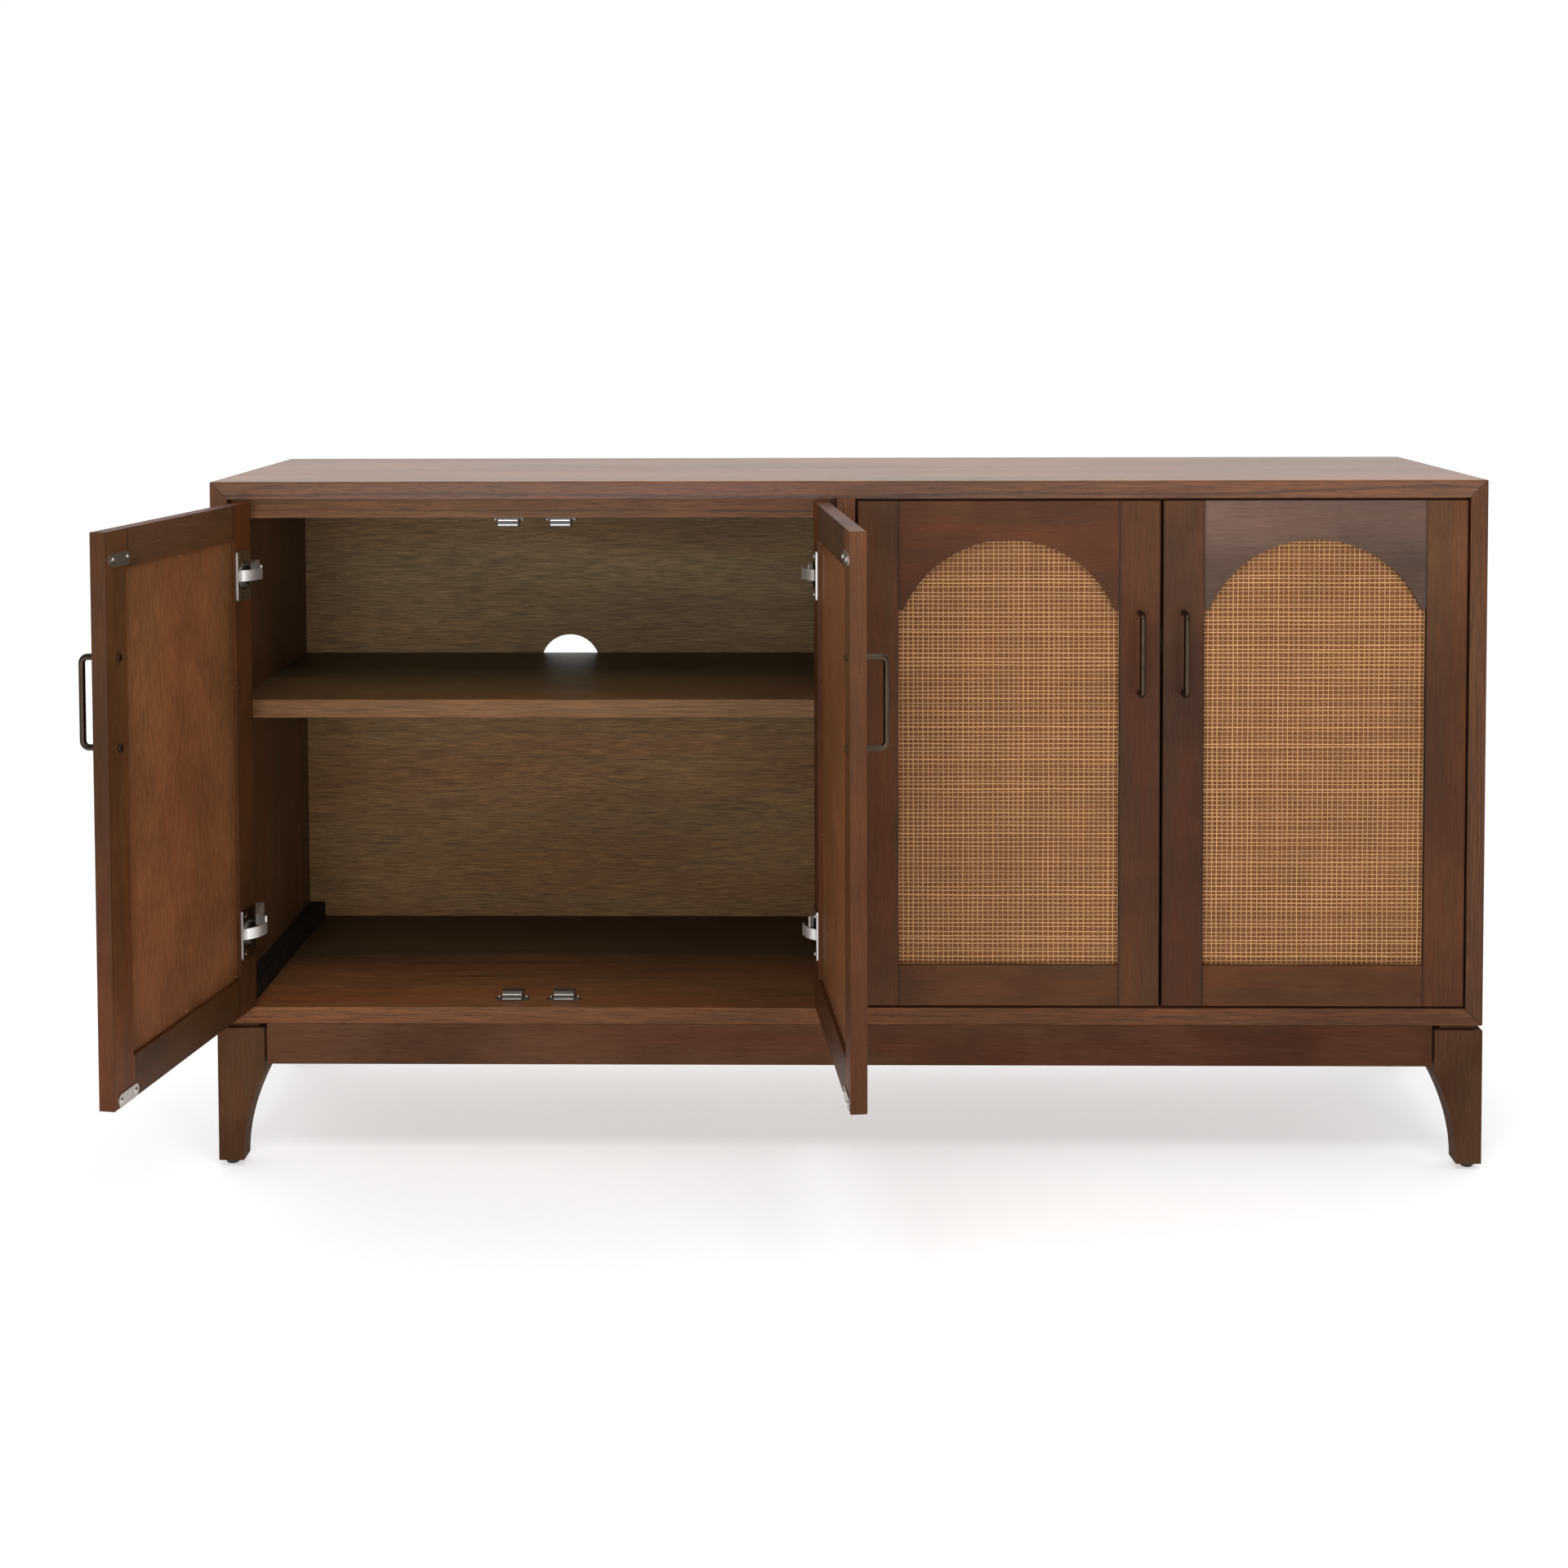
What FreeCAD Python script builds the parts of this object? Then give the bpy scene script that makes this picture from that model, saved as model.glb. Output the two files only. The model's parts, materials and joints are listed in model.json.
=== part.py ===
import FreeCAD, Part
import math
import os

from FreeCAD import Vector

# Media cabinet: a mitred case on four bracket legs, two bays, four inset doors with arched
# cane panels. Millimetres, +Z up, front towards -Y. The model is drawn with x = 0 on the
# middle of the case, y = 0 on its front plane and z = 0 on the floor. Doors 1 and 2 stand
# open and doors 3 and 4 are shut, which is the rest pose.

# --- case ---
CASE_WIDTH = 1524.0
CASE_DEPTH = 406.4
CASE_HEIGHT = 657.0
CASE_UNDERSIDE = 175.0
PANEL = 21.0
CASE_EASE = 2.5
BACK_THICK = 5.0
BACK_INSET = 1.0
BACK_REBATE = 9.0
CABLE_HOLE_R = 40.5
CABLE_HOLE_Z = 548.5
BACK_SCREW_HEIGHTS = (335.0, 505.0, 675.0)

# --- doors ---
SIDE_GAP = 2.7
TOP_GAP = 3.1
BOTTOM_GAP = 2.7
DOOR_THICK = 18.0
DOOR_EASE = 1.5
STILE = 49.0
BOTTOM_RAIL = 49.6
ARCH_CROWN = 46.8
ARCH_SPRING = 130.7
ARCH_STEP = 5.7
REBATE_STILE = 44.0
REBATE_TOP = 41.0
REBATE_BOTTOM = 45.0
CANE_SEAT = 6.5
CANE_THICK = 1.8
BOARD_THICK = 5.7
PANEL_PLAY = 0.3
TENON_LENGTH = 15.0
TENON_FRONT = 6.0
DOOR_TENON_THICK = 6.0

# --- door swing ---
POLE_FROM_PANEL = 7.0
POLE_Y = -3.0
DOOR_1_OPEN = 99.3
DOOR_2_OPEN = 96.0

# --- pulls ---
PULL_FROM_EDGE = 24.7
PULL_FROM_TOP = 182.0
PULL_CENTRES = 96.0
PULL_ROD_R = 3.5
PULL_REACH = 27.0
PULL_BEND_R = 7.0
BOLT_R = 2.0
BOLT_HEAD_R = 4.4
BOLT_HEAD_H = 2.4
BOLT_REACH = 10.0

# --- concealed hinges ---
HINGE_FROM_TOP = 85.0
HINGE_FROM_BOTTOM = 95.5
CUP_R = 17.5
CUP_FROM_EDGE = 22.5
CUP_DEPTH = 11.4
CUP_WALL = 0.9
FLANGE_HEIGHT = 60.0
FLANGE_WIDTH = 35.0
FLANGE_THICK = 2.0
FLANGE_SCREWS = 45.0
FLANGE_SCREW_OFFSET = 9.5
ARM_HALF_HEIGHT = 6.5
LINK_R = 33.5
NOSE_R = 36.6
STRAP_THICK = 2.5
STRAP_ANGLES = (26.0, 97.0)
NOSE_ANGLES = (43.0, 97.0)
LINK_PIN_ANGLE = 27.5
LINK_PIN_R = 1.6
LINK_PIN_REACH = 10.2
ARM_WALL = 1.5
ARM_REAR = 84.0
ARM_FRONT = 34.0
ARM_REACH = 17.0
PLATE_THICK = 3.0
PLATE_SCREW_Y = 58.0
PLATE_SCREWS = 32.0
SPINE_HALF_HEIGHT = 8.0
WING_HALF_HEIGHT = 22.0
WING_HALF_DEPTH = 6.0
KEY_HALF_HEIGHT = 4.5

# --- magnetic catches and their strikes ---
STRIKE_LENGTH = 45.0
STRIKE_HEIGHT = 14.0
STRIKE_THICK = 1.2
STRIKE_SCREWS = 32.0
STRIKE_FROM_EDGE = 30.2
STRIKE_FROM_TOP = 31.0
STRIKE_FROM_BOTTOM = 7.6
CATCH_WIDTH = 26.0
CATCH_HEIGHT = 12.0
CATCH_FRONT = 24.0
CATCH_DEPTH = 14.0
CATCH_EARS = 40.0
CATCH_EAR_THICK = 2.5
CATCH_EAR_R = 3.0
CATCH_SCREWS = 33.0
POLE_PLATE = 1.0
POLE_PLATE_FRONT = 20.6
POLE_PLATE_STEP = 5.4

# --- inside the bays ---
RAIL_FRONT = 20.0
RAIL_THICK = 21.0
RAIL_HEIGHT = 24.2
SHELF_TOP = 563.9
SHELF_THICK = 22.3
SHELF_FRONT = 33.0
SHELF_PLAY = 0.5
PIN_R = 2.5
PIN_LENGTH = 18.0
PIN_INSET = 40.0
CLEAT_SIZE = 21.5
CLEAT_HEIGHT = 20.0
CLEAT_FRONT = 21.0

# --- base ---
APRON_BOTTOM = 125.5
APRON_SETBACK = 1.5
APRON_TENON_THICK = 9.0
APRON_TENON_LOW = 7.0
APRON_TENON_HIGH = 3.0
LEG_TOP_WIDTH = 57.3
LEG_FOOT_WIDTH = 30.5
LEG_CURVE_R = 230.0
LEG_EASE = 1.5
LEG_GAP = 5.0
APRON_GAP = 3.0
LEG_NECK_INSET = 8.0
GLIDE_HEIGHT = 7.3
GLIDE_R = 8.3
GLIDE_ROUND = 3.5
GLIDE_STEM_R = 3.0
GLIDE_STEM_LENGTH = 12.0
GLIDE_FROM_EDGE = 14.0

# --- screws: one pattern throughout ---
SCREW_HEAD_R = 3.1
SCREW_HEAD_H = 1.0
SCREW_R = 1.5
SCREW_LENGTH = 9.0
HOLE_PLAY = 0.05

# --- where the origin lies: the middle of the floor area covered in the rest pose ---
ORIGIN_X = -24.7
ORIGIN_Y = 23.1

HALF = CASE_WIDTH / 2
INNER_HALF = HALF - PANEL
INNER_BACK = CASE_DEPTH - BACK_INSET - BACK_THICK
CASE_TOP = CASE_UNDERSIDE + CASE_HEIGHT
FLOOR_Z = CASE_UNDERSIDE + PANEL
CEILING_Z = CASE_TOP - PANEL
BAY_WIDTH = INNER_HALF - PANEL / 2
BAY_CENTRE = (INNER_HALF + PANEL / 2) / 2
DOOR_WIDTH = (BAY_WIDTH - 3 * SIDE_GAP) / 2
DOOR_HEIGHT = CEILING_Z - FLOOR_Z - TOP_GAP - BOTTOM_GAP
DOOR_BOTTOM = FLOOR_Z + BOTTOM_GAP
PULL_CENTRE_Z = DOOR_HEIGHT - PULL_FROM_TOP
POLE_U = POLE_FROM_PANEL - SIDE_GAP
HINGE_HEIGHTS = (HINGE_FROM_BOTTOM, DOOR_HEIGHT - HINGE_FROM_TOP)
STRIKE_HEIGHTS = (STRIKE_FROM_BOTTOM, DOOR_HEIGHT - STRIKE_FROM_TOP)
STRIKE_U = DOOR_WIDTH - STRIKE_FROM_EDGE
RAIL_UNDERSIDE = CEILING_Z - RAIL_HEIGHT
LEG_TOP = CASE_UNDERSIDE - LEG_GAP

# Each door: its number, the x of the panel face that it hangs on, +1 when it reaches
# towards +X from there or -1 when it reaches towards -X, and how far it stands open.
DOORS = (
    (1, -INNER_HALF, 1, DOOR_1_OPEN),
    (2, -PANEL / 2, -1, DOOR_2_OPEN),
    (3, PANEL / 2, 1, 0.0),
    (4, INNER_HALF, -1, 0.0),
)

nodes = {}


def add(name, *shapes):
    nodes.setdefault(name, []).extend(shapes)


def box(x0, x1, y0, y1, z0, z1):
    return Part.makeBox(x1 - x0, y1 - y0, z1 - z0, Vector(x0, y0, z0))


def rod(radius, start, along, length):
    return Part.makeCylinder(radius, length, Vector(*start), Vector(*along))


def fused(first, *others):
    return first.fuse(list(others)).removeSplitter()


def mirrored_x(shape):
    return shape.mirror(Vector(0, 0, 0), Vector(1, 0, 0))


def eased_box(block, radius, keep):
    """Round the box edges whose middle point passes the test."""
    edges = [edge for edge in block.Edges if keep(edge.CenterOfMass)]
    return block.makeFillet(radius, edges)


def polygon_prism(points, direction):
    wire = Part.makePolygon([Vector(*point) for point in points + points[:1]])
    return Part.Face(wire).extrude(Vector(*direction))


def ring_sector(centre, inner, outer, start, stop, z0, z1):
    """A band of a flat ring about a vertical axis, between two angles in degrees."""
    def at(radius, angle):
        turn = math.radians(angle)
        return Vector(centre[0] + radius * math.cos(turn), centre[1] + radius * math.sin(turn), z0)

    middle = (start + stop) / 2
    edges = [
        Part.Arc(at(outer, start), at(outer, middle), at(outer, stop)).toShape(),
        Part.makeLine(at(outer, stop), at(inner, stop)),
        Part.Arc(at(inner, stop), at(inner, middle), at(inner, start)).toShape(),
        Part.makeLine(at(inner, start), at(outer, start)),
    ]
    return Part.Face(Part.Wire(edges)).extrude(Vector(0, 0, z1 - z0))


def screw(head_at, inward):
    """A domed wood screw: the flat of its head at head_at, its shank going inward."""
    head, into = Vector(*head_at), Vector(*inward)
    dome_r = (SCREW_HEAD_R ** 2 + SCREW_HEAD_H ** 2) / (2 * SCREW_HEAD_H)
    dome = Part.makeSphere(dome_r, head + into * (dome_r - SCREW_HEAD_H), into)
    cap = dome.common(Part.makeCylinder(SCREW_HEAD_R, SCREW_HEAD_H, head, into * -1))
    return fused(cap, Part.makeCylinder(SCREW_R, SCREW_LENGTH, head, into))


def screw_hole(head_at, inward):
    return Part.makeCylinder(SCREW_R + HOLE_PLAY, SCREW_LENGTH + 0.5, Vector(*head_at), Vector(*inward))


# --- case ---------------------------------------------------------------------------------


def hinge_plate_screws():
    """Head points and directions of the screws that hold the hinge plates."""
    places = []
    for number, face_x, hand, opened in DOORS:
        for height in HINGE_HEIGHTS:
            for side in (-1, 1):
                z = DOOR_BOTTOM + height + side * PLATE_SCREWS / 2
                places.append(((face_x + hand * PLATE_THICK, PLATE_SCREW_Y, z), (-hand, 0, 0)))
    return places


def catch_centres():
    return [face_x + hand * (SIDE_GAP + STRIKE_U) for number, face_x, hand, opened in DOORS]


def catch_screws():
    places = []
    for centre in catch_centres():
        for side in (-1, 1):
            x = centre + side * CATCH_SCREWS / 2
            y = CATCH_FRONT + CATCH_DEPTH / 2
            places.append(((x, y, FLOOR_Z + CATCH_EAR_THICK), (0, 0, -1)))
            places.append(((x, y, RAIL_UNDERSIDE - CATCH_EAR_THICK), (0, 0, 1)))
    return places


def back_screws():
    y = CASE_DEPTH - BACK_INSET
    span = INNER_HALF + BACK_REBATE / 2
    low = FLOOR_Z - BACK_REBATE / 2
    high = CEILING_Z + BACK_REBATE / 2
    points = [(x, z) for x in (-span, 0.0, span) for z in BACK_SCREW_HEIGHTS]
    points += [(step * span / 3, z) for step in range(-3, 4) for z in (low, high)]
    return [((x, y, z), (0, -1, 0)) for x, z in points]


def shelf_pins():
    pins = []
    underside = SHELF_TOP - SHELF_THICK
    for face_x, hand in ((-INNER_HALF, 1), (-PANEL / 2, -1), (PANEL / 2, 1), (INNER_HALF, -1)):
        for y in (SHELF_FRONT + PIN_INSET, INNER_BACK - PIN_INSET):
            start = (face_x - hand * PIN_LENGTH / 2, y, underside - PIN_R)
            pins.append((start, (hand, 0, 0)))
    return pins


def make_case():
    def outer_edge(point):
        return point.y < 1 or (abs(abs(point.x) - HALF) < 1 and abs(point.y - CASE_DEPTH) > 1)

    block = box(-HALF, HALF, 0, CASE_DEPTH, CASE_UNDERSIDE, CASE_TOP)
    block = eased_box(block, CASE_EASE, outer_edge)
    hollow = box(-INNER_HALF, INNER_HALF, -1, CASE_DEPTH + 1, FLOOR_Z, CEILING_Z)
    rebate = box(
        -INNER_HALF - BACK_REBATE, INNER_HALF + BACK_REBATE, INNER_BACK, CASE_DEPTH + 1,
        FLOOR_Z - BACK_REBATE, CEILING_Z + BACK_REBATE,
    )
    shell = block.cut(hollow).cut(rebate)

    # The four mitred panels: each keeps the part of the shell on its side of the 45-degree lines.
    low, high = CASE_UNDERSIDE, CASE_TOP
    outer_in = HALF + 1
    inner_in = INNER_HALF - 1
    deep = (0, CASE_DEPTH + 2, 0)
    top = [(-outer_in, -1, high + 1), (outer_in, -1, high + 1),
           (inner_in, -1, CEILING_Z - 1), (-inner_in, -1, CEILING_Z - 1)]
    bottom = [(-outer_in, -1, low - 1), (outer_in, -1, low - 1),
              (inner_in, -1, FLOOR_Z + 1), (-inner_in, -1, FLOOR_Z + 1)]
    left = [(-outer_in, -1, high + 1), (-inner_in, -1, CEILING_Z - 1),
            (-inner_in, -1, FLOOR_Z + 1), (-outer_in, -1, low - 1)]

    pin_holes = [rod(PIN_R + HOLE_PLAY, start, along, PIN_LENGTH) for start, along in shelf_pins()]
    plate_holes = [screw_hole(*place) for place in hinge_plate_screws()]
    catch_holes = [screw_hole(*place) for place in catch_screws()]
    back_holes = [screw_hole(*place) for place in back_screws()]

    left_panel = shell.common(polygon_prism(left, deep))
    add("top_panel", shell.common(polygon_prism(top, deep)).cut(back_holes))
    add("bottom_panel", shell.common(polygon_prism(bottom, deep)).cut(back_holes + catch_holes))
    add("left_side", left_panel.cut(pin_holes + plate_holes + back_holes))
    add("right_side", mirrored_x(left_panel).cut(pin_holes + plate_holes + back_holes))

    divider = box(-PANEL / 2, PANEL / 2, 0, INNER_BACK, FLOOR_Z, CEILING_Z)
    add("centre_divider", divider.cut(pin_holes + plate_holes + back_holes))

    back = box(
        -INNER_HALF - BACK_REBATE + PANEL_PLAY, INNER_HALF + BACK_REBATE - PANEL_PLAY,
        INNER_BACK, INNER_BACK + BACK_THICK,
        FLOOR_Z - BACK_REBATE + PANEL_PLAY, CEILING_Z + BACK_REBATE - PANEL_PLAY,
    )
    cable_holes = [
        rod(CABLE_HOLE_R, (side * BAY_CENTRE, INNER_BACK - 1, CABLE_HOLE_Z), (0, 1, 0), 20)
        for side in (-1, 1)
    ]
    add("back_panel", back.cut(cable_holes + back_holes))


def make_bay_fittings():
    catch_holes = [screw_hole(*place) for place in catch_screws()]
    for side, shelf_name in ((-1, "left_shelf"), (1, "right_shelf")):
        near, far = sorted((side * PANEL / 2, side * INNER_HALF))
        rail = box(near, far, RAIL_FRONT, RAIL_FRONT + RAIL_THICK, RAIL_UNDERSIDE, CEILING_Z)
        add("stop_rails", rail.cut(catch_holes))
        shelf = box(
            near + SHELF_PLAY, far - SHELF_PLAY, SHELF_FRONT, INNER_BACK - SHELF_PLAY,
            SHELF_TOP - SHELF_THICK, SHELF_TOP,
        )
        add(shelf_name, eased_box(shelf, 1.0, lambda point: point.y < SHELF_FRONT + 0.1))
        wall = side * INNER_HALF
        inner = side * (INNER_HALF - CLEAT_SIZE)
        low_x, high_x = sorted((wall, inner))
        add("floor_cleats", box(low_x, high_x, CLEAT_FRONT, INNER_BACK, FLOOR_Z, FLOOR_Z + CLEAT_HEIGHT))
    for start, along in shelf_pins():
        add("shelf_pins", rod(PIN_R, start, along, PIN_LENGTH))


def magnetic_catch(centre_x, mount_z, away):
    """One catch: a plastic body with screw ears, and two steel pole plates facing the door."""
    def layer(x_half, y0, y1, from_mount, thick):
        z0, z1 = sorted((mount_z + away * from_mount, mount_z + away * (from_mount + thick)))
        return box(centre_x - x_half, centre_x + x_half, y0, y1, z0, z1)

    rear = CATCH_FRONT + CATCH_DEPTH
    body = layer(CATCH_WIDTH / 2, CATCH_FRONT, rear, 0, CATCH_HEIGHT)
    body = eased_box(body, 1.0, lambda point: abs(point.z - mount_z) > 1)
    ears = layer(CATCH_EARS / 2, CATCH_FRONT + 2, rear - 2, 0, CATCH_EAR_THICK)
    ears = eased_box(ears, CATCH_EAR_R, lambda point: abs(point.x - centre_x) > CATCH_EARS / 2 - 0.1
                     and abs(abs(point.z - mount_z) - CATCH_EAR_THICK / 2) < 0.1)
    plates = [
        layer(CATCH_WIDTH / 2 - 1.5, POLE_PLATE_FRONT, CATCH_FRONT, level, POLE_PLATE)
        for level in (CATCH_HEIGHT * 0.25, CATCH_HEIGHT * 0.25 + POLE_PLATE_STEP)
    ]
    return fused(body, ears), plates


def make_catches():
    holes = [screw_hole(*place) for place in catch_screws()]
    for centre in catch_centres():
        for mount_z, away in ((FLOOR_Z, 1), (RAIL_UNDERSIDE, -1)):
            body, plates = magnetic_catch(centre, mount_z, away)
            add("magnetic_catches", body.cut(holes))
            add("catch_plates", *plates)


def make_case_screws():
    for place in hinge_plate_screws() + catch_screws() + back_screws():
        add("case_screws", screw(*place))


# --- base ---------------------------------------------------------------------------------


def leg_profile(plane):
    """Half of the leg's shape: straight outside, sweeping in below the apron to a narrow foot."""
    reach = LEG_TOP_WIDTH - LEG_FOOT_WIDTH
    curve_high = GLIDE_HEIGHT + math.sqrt(LEG_CURVE_R ** 2 - (LEG_CURVE_R - reach) ** 2)
    half_turn = math.asin((curve_high - GLIDE_HEIGHT) / LEG_CURVE_R) / 2
    middle = (
        LEG_FOOT_WIDTH + LEG_CURVE_R * (1 - math.cos(half_turn)),
        GLIDE_HEIGHT + LEG_CURVE_R * math.sin(half_turn),
    )

    def at(out, z):
        return Vector(out, 0, z) if plane == "x" else Vector(0, out, z)

    edges = [
        Part.makeLine(at(0, GLIDE_HEIGHT), at(0, LEG_TOP)),
        Part.makeLine(at(0, LEG_TOP), at(LEG_TOP_WIDTH, LEG_TOP)),
        Part.makeLine(at(LEG_TOP_WIDTH, LEG_TOP), at(LEG_TOP_WIDTH, curve_high)),
        Part.Arc(at(LEG_TOP_WIDTH, curve_high), at(*middle), at(LEG_FOOT_WIDTH, GLIDE_HEIGHT)).toShape(),
        Part.makeLine(at(LEG_FOOT_WIDTH, GLIDE_HEIGHT), at(0, GLIDE_HEIGHT)),
    ]
    sweep = Vector(0, LEG_TOP_WIDTH, 0) if plane == "x" else Vector(LEG_TOP_WIDTH, 0, 0)
    return Part.Face(Part.Wire(edges)).extrude(sweep)


def apron_rail(half_length):
    """An apron rail along X with a tenon on each end, set back from the case's front."""
    front = APRON_SETBACK
    tenon_end = half_length + APRON_GAP + TENON_LENGTH
    rail = box(-half_length, half_length, front, front + PANEL, APRON_BOTTOM, CASE_UNDERSIDE)
    tenon = box(
        -tenon_end, tenon_end, front + TENON_FRONT, front + TENON_FRONT + APRON_TENON_THICK,
        APRON_BOTTOM + APRON_TENON_LOW, LEG_TOP - APRON_TENON_HIGH,
    )
    return fused(rail, tenon)


def make_base():
    long_half = HALF - LEG_TOP_WIDTH - APRON_GAP
    short_half = CASE_DEPTH / 2 - LEG_TOP_WIDTH - APRON_GAP
    front = apron_rail(long_half)
    rear = front.mirror(Vector(0, CASE_DEPTH / 2, 0), Vector(0, 1, 0))
    left = apron_rail(short_half)
    left.rotate(Vector(0, 0, 0), Vector(0, 0, 1), -90)
    left.translate(Vector(-HALF, CASE_DEPTH / 2, 0))
    right = mirrored_x(left)
    add("front_apron", front)
    add("rear_apron", rear)
    add("side_aprons", left, right)
    aprons = [front, rear, left, right]

    blank = box(0, LEG_TOP_WIDTH, 0, LEG_TOP_WIDTH, GLIDE_HEIGHT, LEG_TOP)
    blank = eased_box(blank, LEG_EASE, lambda point: point.z > LEG_TOP - 0.1
                      or (point.x < 0.1 and point.y < 0.1))
    leg = leg_profile("x").common(leg_profile("y")).common(blank)
    neck_end = LEG_TOP_WIDTH - LEG_NECK_INSET
    neck = box(LEG_NECK_INSET, neck_end, LEG_NECK_INSET, neck_end, LEG_TOP, CASE_UNDERSIDE)
    leg = leg.fuse(neck)
    stem_at = (GLIDE_FROM_EDGE, GLIDE_FROM_EDGE, GLIDE_HEIGHT)
    leg = leg.cut(rod(GLIDE_STEM_R + HOLE_PLAY, stem_at, (0, 0, 1), GLIDE_STEM_LENGTH + 0.5))
    foot = rod(GLIDE_R, (GLIDE_FROM_EDGE, GLIDE_FROM_EDGE, 0), (0, 0, 1), GLIDE_HEIGHT)
    foot = eased_box(foot, GLIDE_ROUND, lambda point: point.z < 0.1)
    glide = fused(foot, rod(GLIDE_STEM_R, stem_at, (0, 0, 1), GLIDE_STEM_LENGTH))

    for name, flip_x, flip_y in (
        ("front_left_leg", False, False), ("front_right_leg", True, False),
        ("rear_left_leg", False, True), ("rear_right_leg", True, True),
    ):
        placed = []
        for shape in (leg, glide):
            copy = shape.copy()
            copy.translate(Vector(-HALF, 0, 0))
            if flip_x:
                copy = mirrored_x(copy)
            if flip_y:
                copy = copy.mirror(Vector(0, CASE_DEPTH / 2, 0), Vector(0, 1, 0))
            placed.append(copy)
        add(name, placed[0].cut(aprons))
        add("foot_glides", placed[1])


# --- doors: drawn shut, u = 0 on the hinge edge, y = 0 on the front, z = 0 on the bottom ----


def door_screws():
    """Head points of the screws in one door: four in hinge flanges, four in strikes."""
    places = []
    for height in HINGE_HEIGHTS:
        for side in (-1, 1):
            u = CUP_FROM_EDGE + FLANGE_SCREW_OFFSET
            places.append((u, DOOR_THICK + FLANGE_THICK, height + side * FLANGE_SCREWS / 2))
    for height in STRIKE_HEIGHTS:
        for side in (-1, 1):
            places.append((STRIKE_U + side * STRIKE_SCREWS / 2, DOOR_THICK + STRIKE_THICK, height))
    return [(point, (0, -1, 0)) for point in places]


def pull_bolt_axes():
    u = DOOR_WIDTH - PULL_FROM_EDGE
    return [(u, PULL_CENTRE_Z + side * PULL_CENTRES / 2) for side in (-1, 1)]


def door_frame():
    """The stiles and rails of one door, as separate pieces."""
    block = box(0, DOOR_WIDTH, 0, DOOR_THICK, 0, DOOR_HEIGHT)
    block = eased_box(block, DOOR_EASE, lambda point: point.y < 0.1)
    rebate = box(
        REBATE_STILE, DOOR_WIDTH - REBATE_STILE, CANE_SEAT, DOOR_THICK + 1,
        REBATE_BOTTOM, DOOR_HEIGHT - REBATE_TOP,
    )
    cups = [rod(CUP_R + HOLE_PLAY, (CUP_FROM_EDGE, DOOR_THICK - CUP_DEPTH - 0.2, height), (0, 1, 0), 20)
            for height in HINGE_HEIGHTS]
    bolts = [rod(BOLT_R + HOLE_PLAY, (u, -1, z), (0, 1, 0), DOOR_THICK + 2) for u, z in pull_bolt_axes()]
    screws = [screw_hole(*place) for place in door_screws()]
    block = block.cut([rebate] + cups + bolts + screws)

    spring_z = DOOR_HEIGHT - ARCH_SPRING
    half_chord = DOOR_WIDTH / 2 - STILE - ARCH_STEP
    rise = ARCH_SPRING - ARCH_CROWN
    arch_r = (half_chord ** 2 + rise ** 2) / (2 * rise)
    arch_centre_z = DOOR_HEIGHT - ARCH_CROWN - arch_r
    arch = rod(arch_r, (DOOR_WIDTH / 2, -1, arch_centre_z), (0, 1, 0), DOOR_THICK + 2)

    def tenon(z0, z1):
        back = TENON_FRONT + DOOR_TENON_THICK
        far = DOOR_WIDTH - STILE
        return [box(STILE - TENON_LENGTH, STILE, TENON_FRONT, back, z0, z1),
                box(far, far + TENON_LENGTH, TENON_FRONT, back, z0, z1)]

    top_tenons = tenon(DOOR_HEIGHT - REBATE_TOP + 5, DOOR_HEIGHT - 8)
    bottom_tenons = tenon(14, REBATE_BOTTOM - 6)
    between = box(STILE, DOOR_WIDTH - STILE, -1, DOOR_THICK + 1, -1, DOOR_HEIGHT + 1)
    over_spring = box(0, DOOR_WIDTH, -1, DOOR_THICK + 1, spring_z, DOOR_HEIGHT + 1)
    under_opening = box(0, DOOR_WIDTH, -1, DOOR_THICK + 1, -1, BOTTOM_RAIL)
    top_rail = fused(block.common(between).common(over_spring).cut(arch), *top_tenons)
    bottom_rail = fused(block.common(between).common(under_opening), *bottom_tenons)
    free_screws = screws[len(screws) // 2:]
    top_rail = top_rail.cut(free_screws)
    bottom_rail = bottom_rail.cut(free_screws)
    sides = block.cut(between).cut(top_tenons + bottom_tenons)
    return sides.Solids, top_rail, bottom_rail


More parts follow.
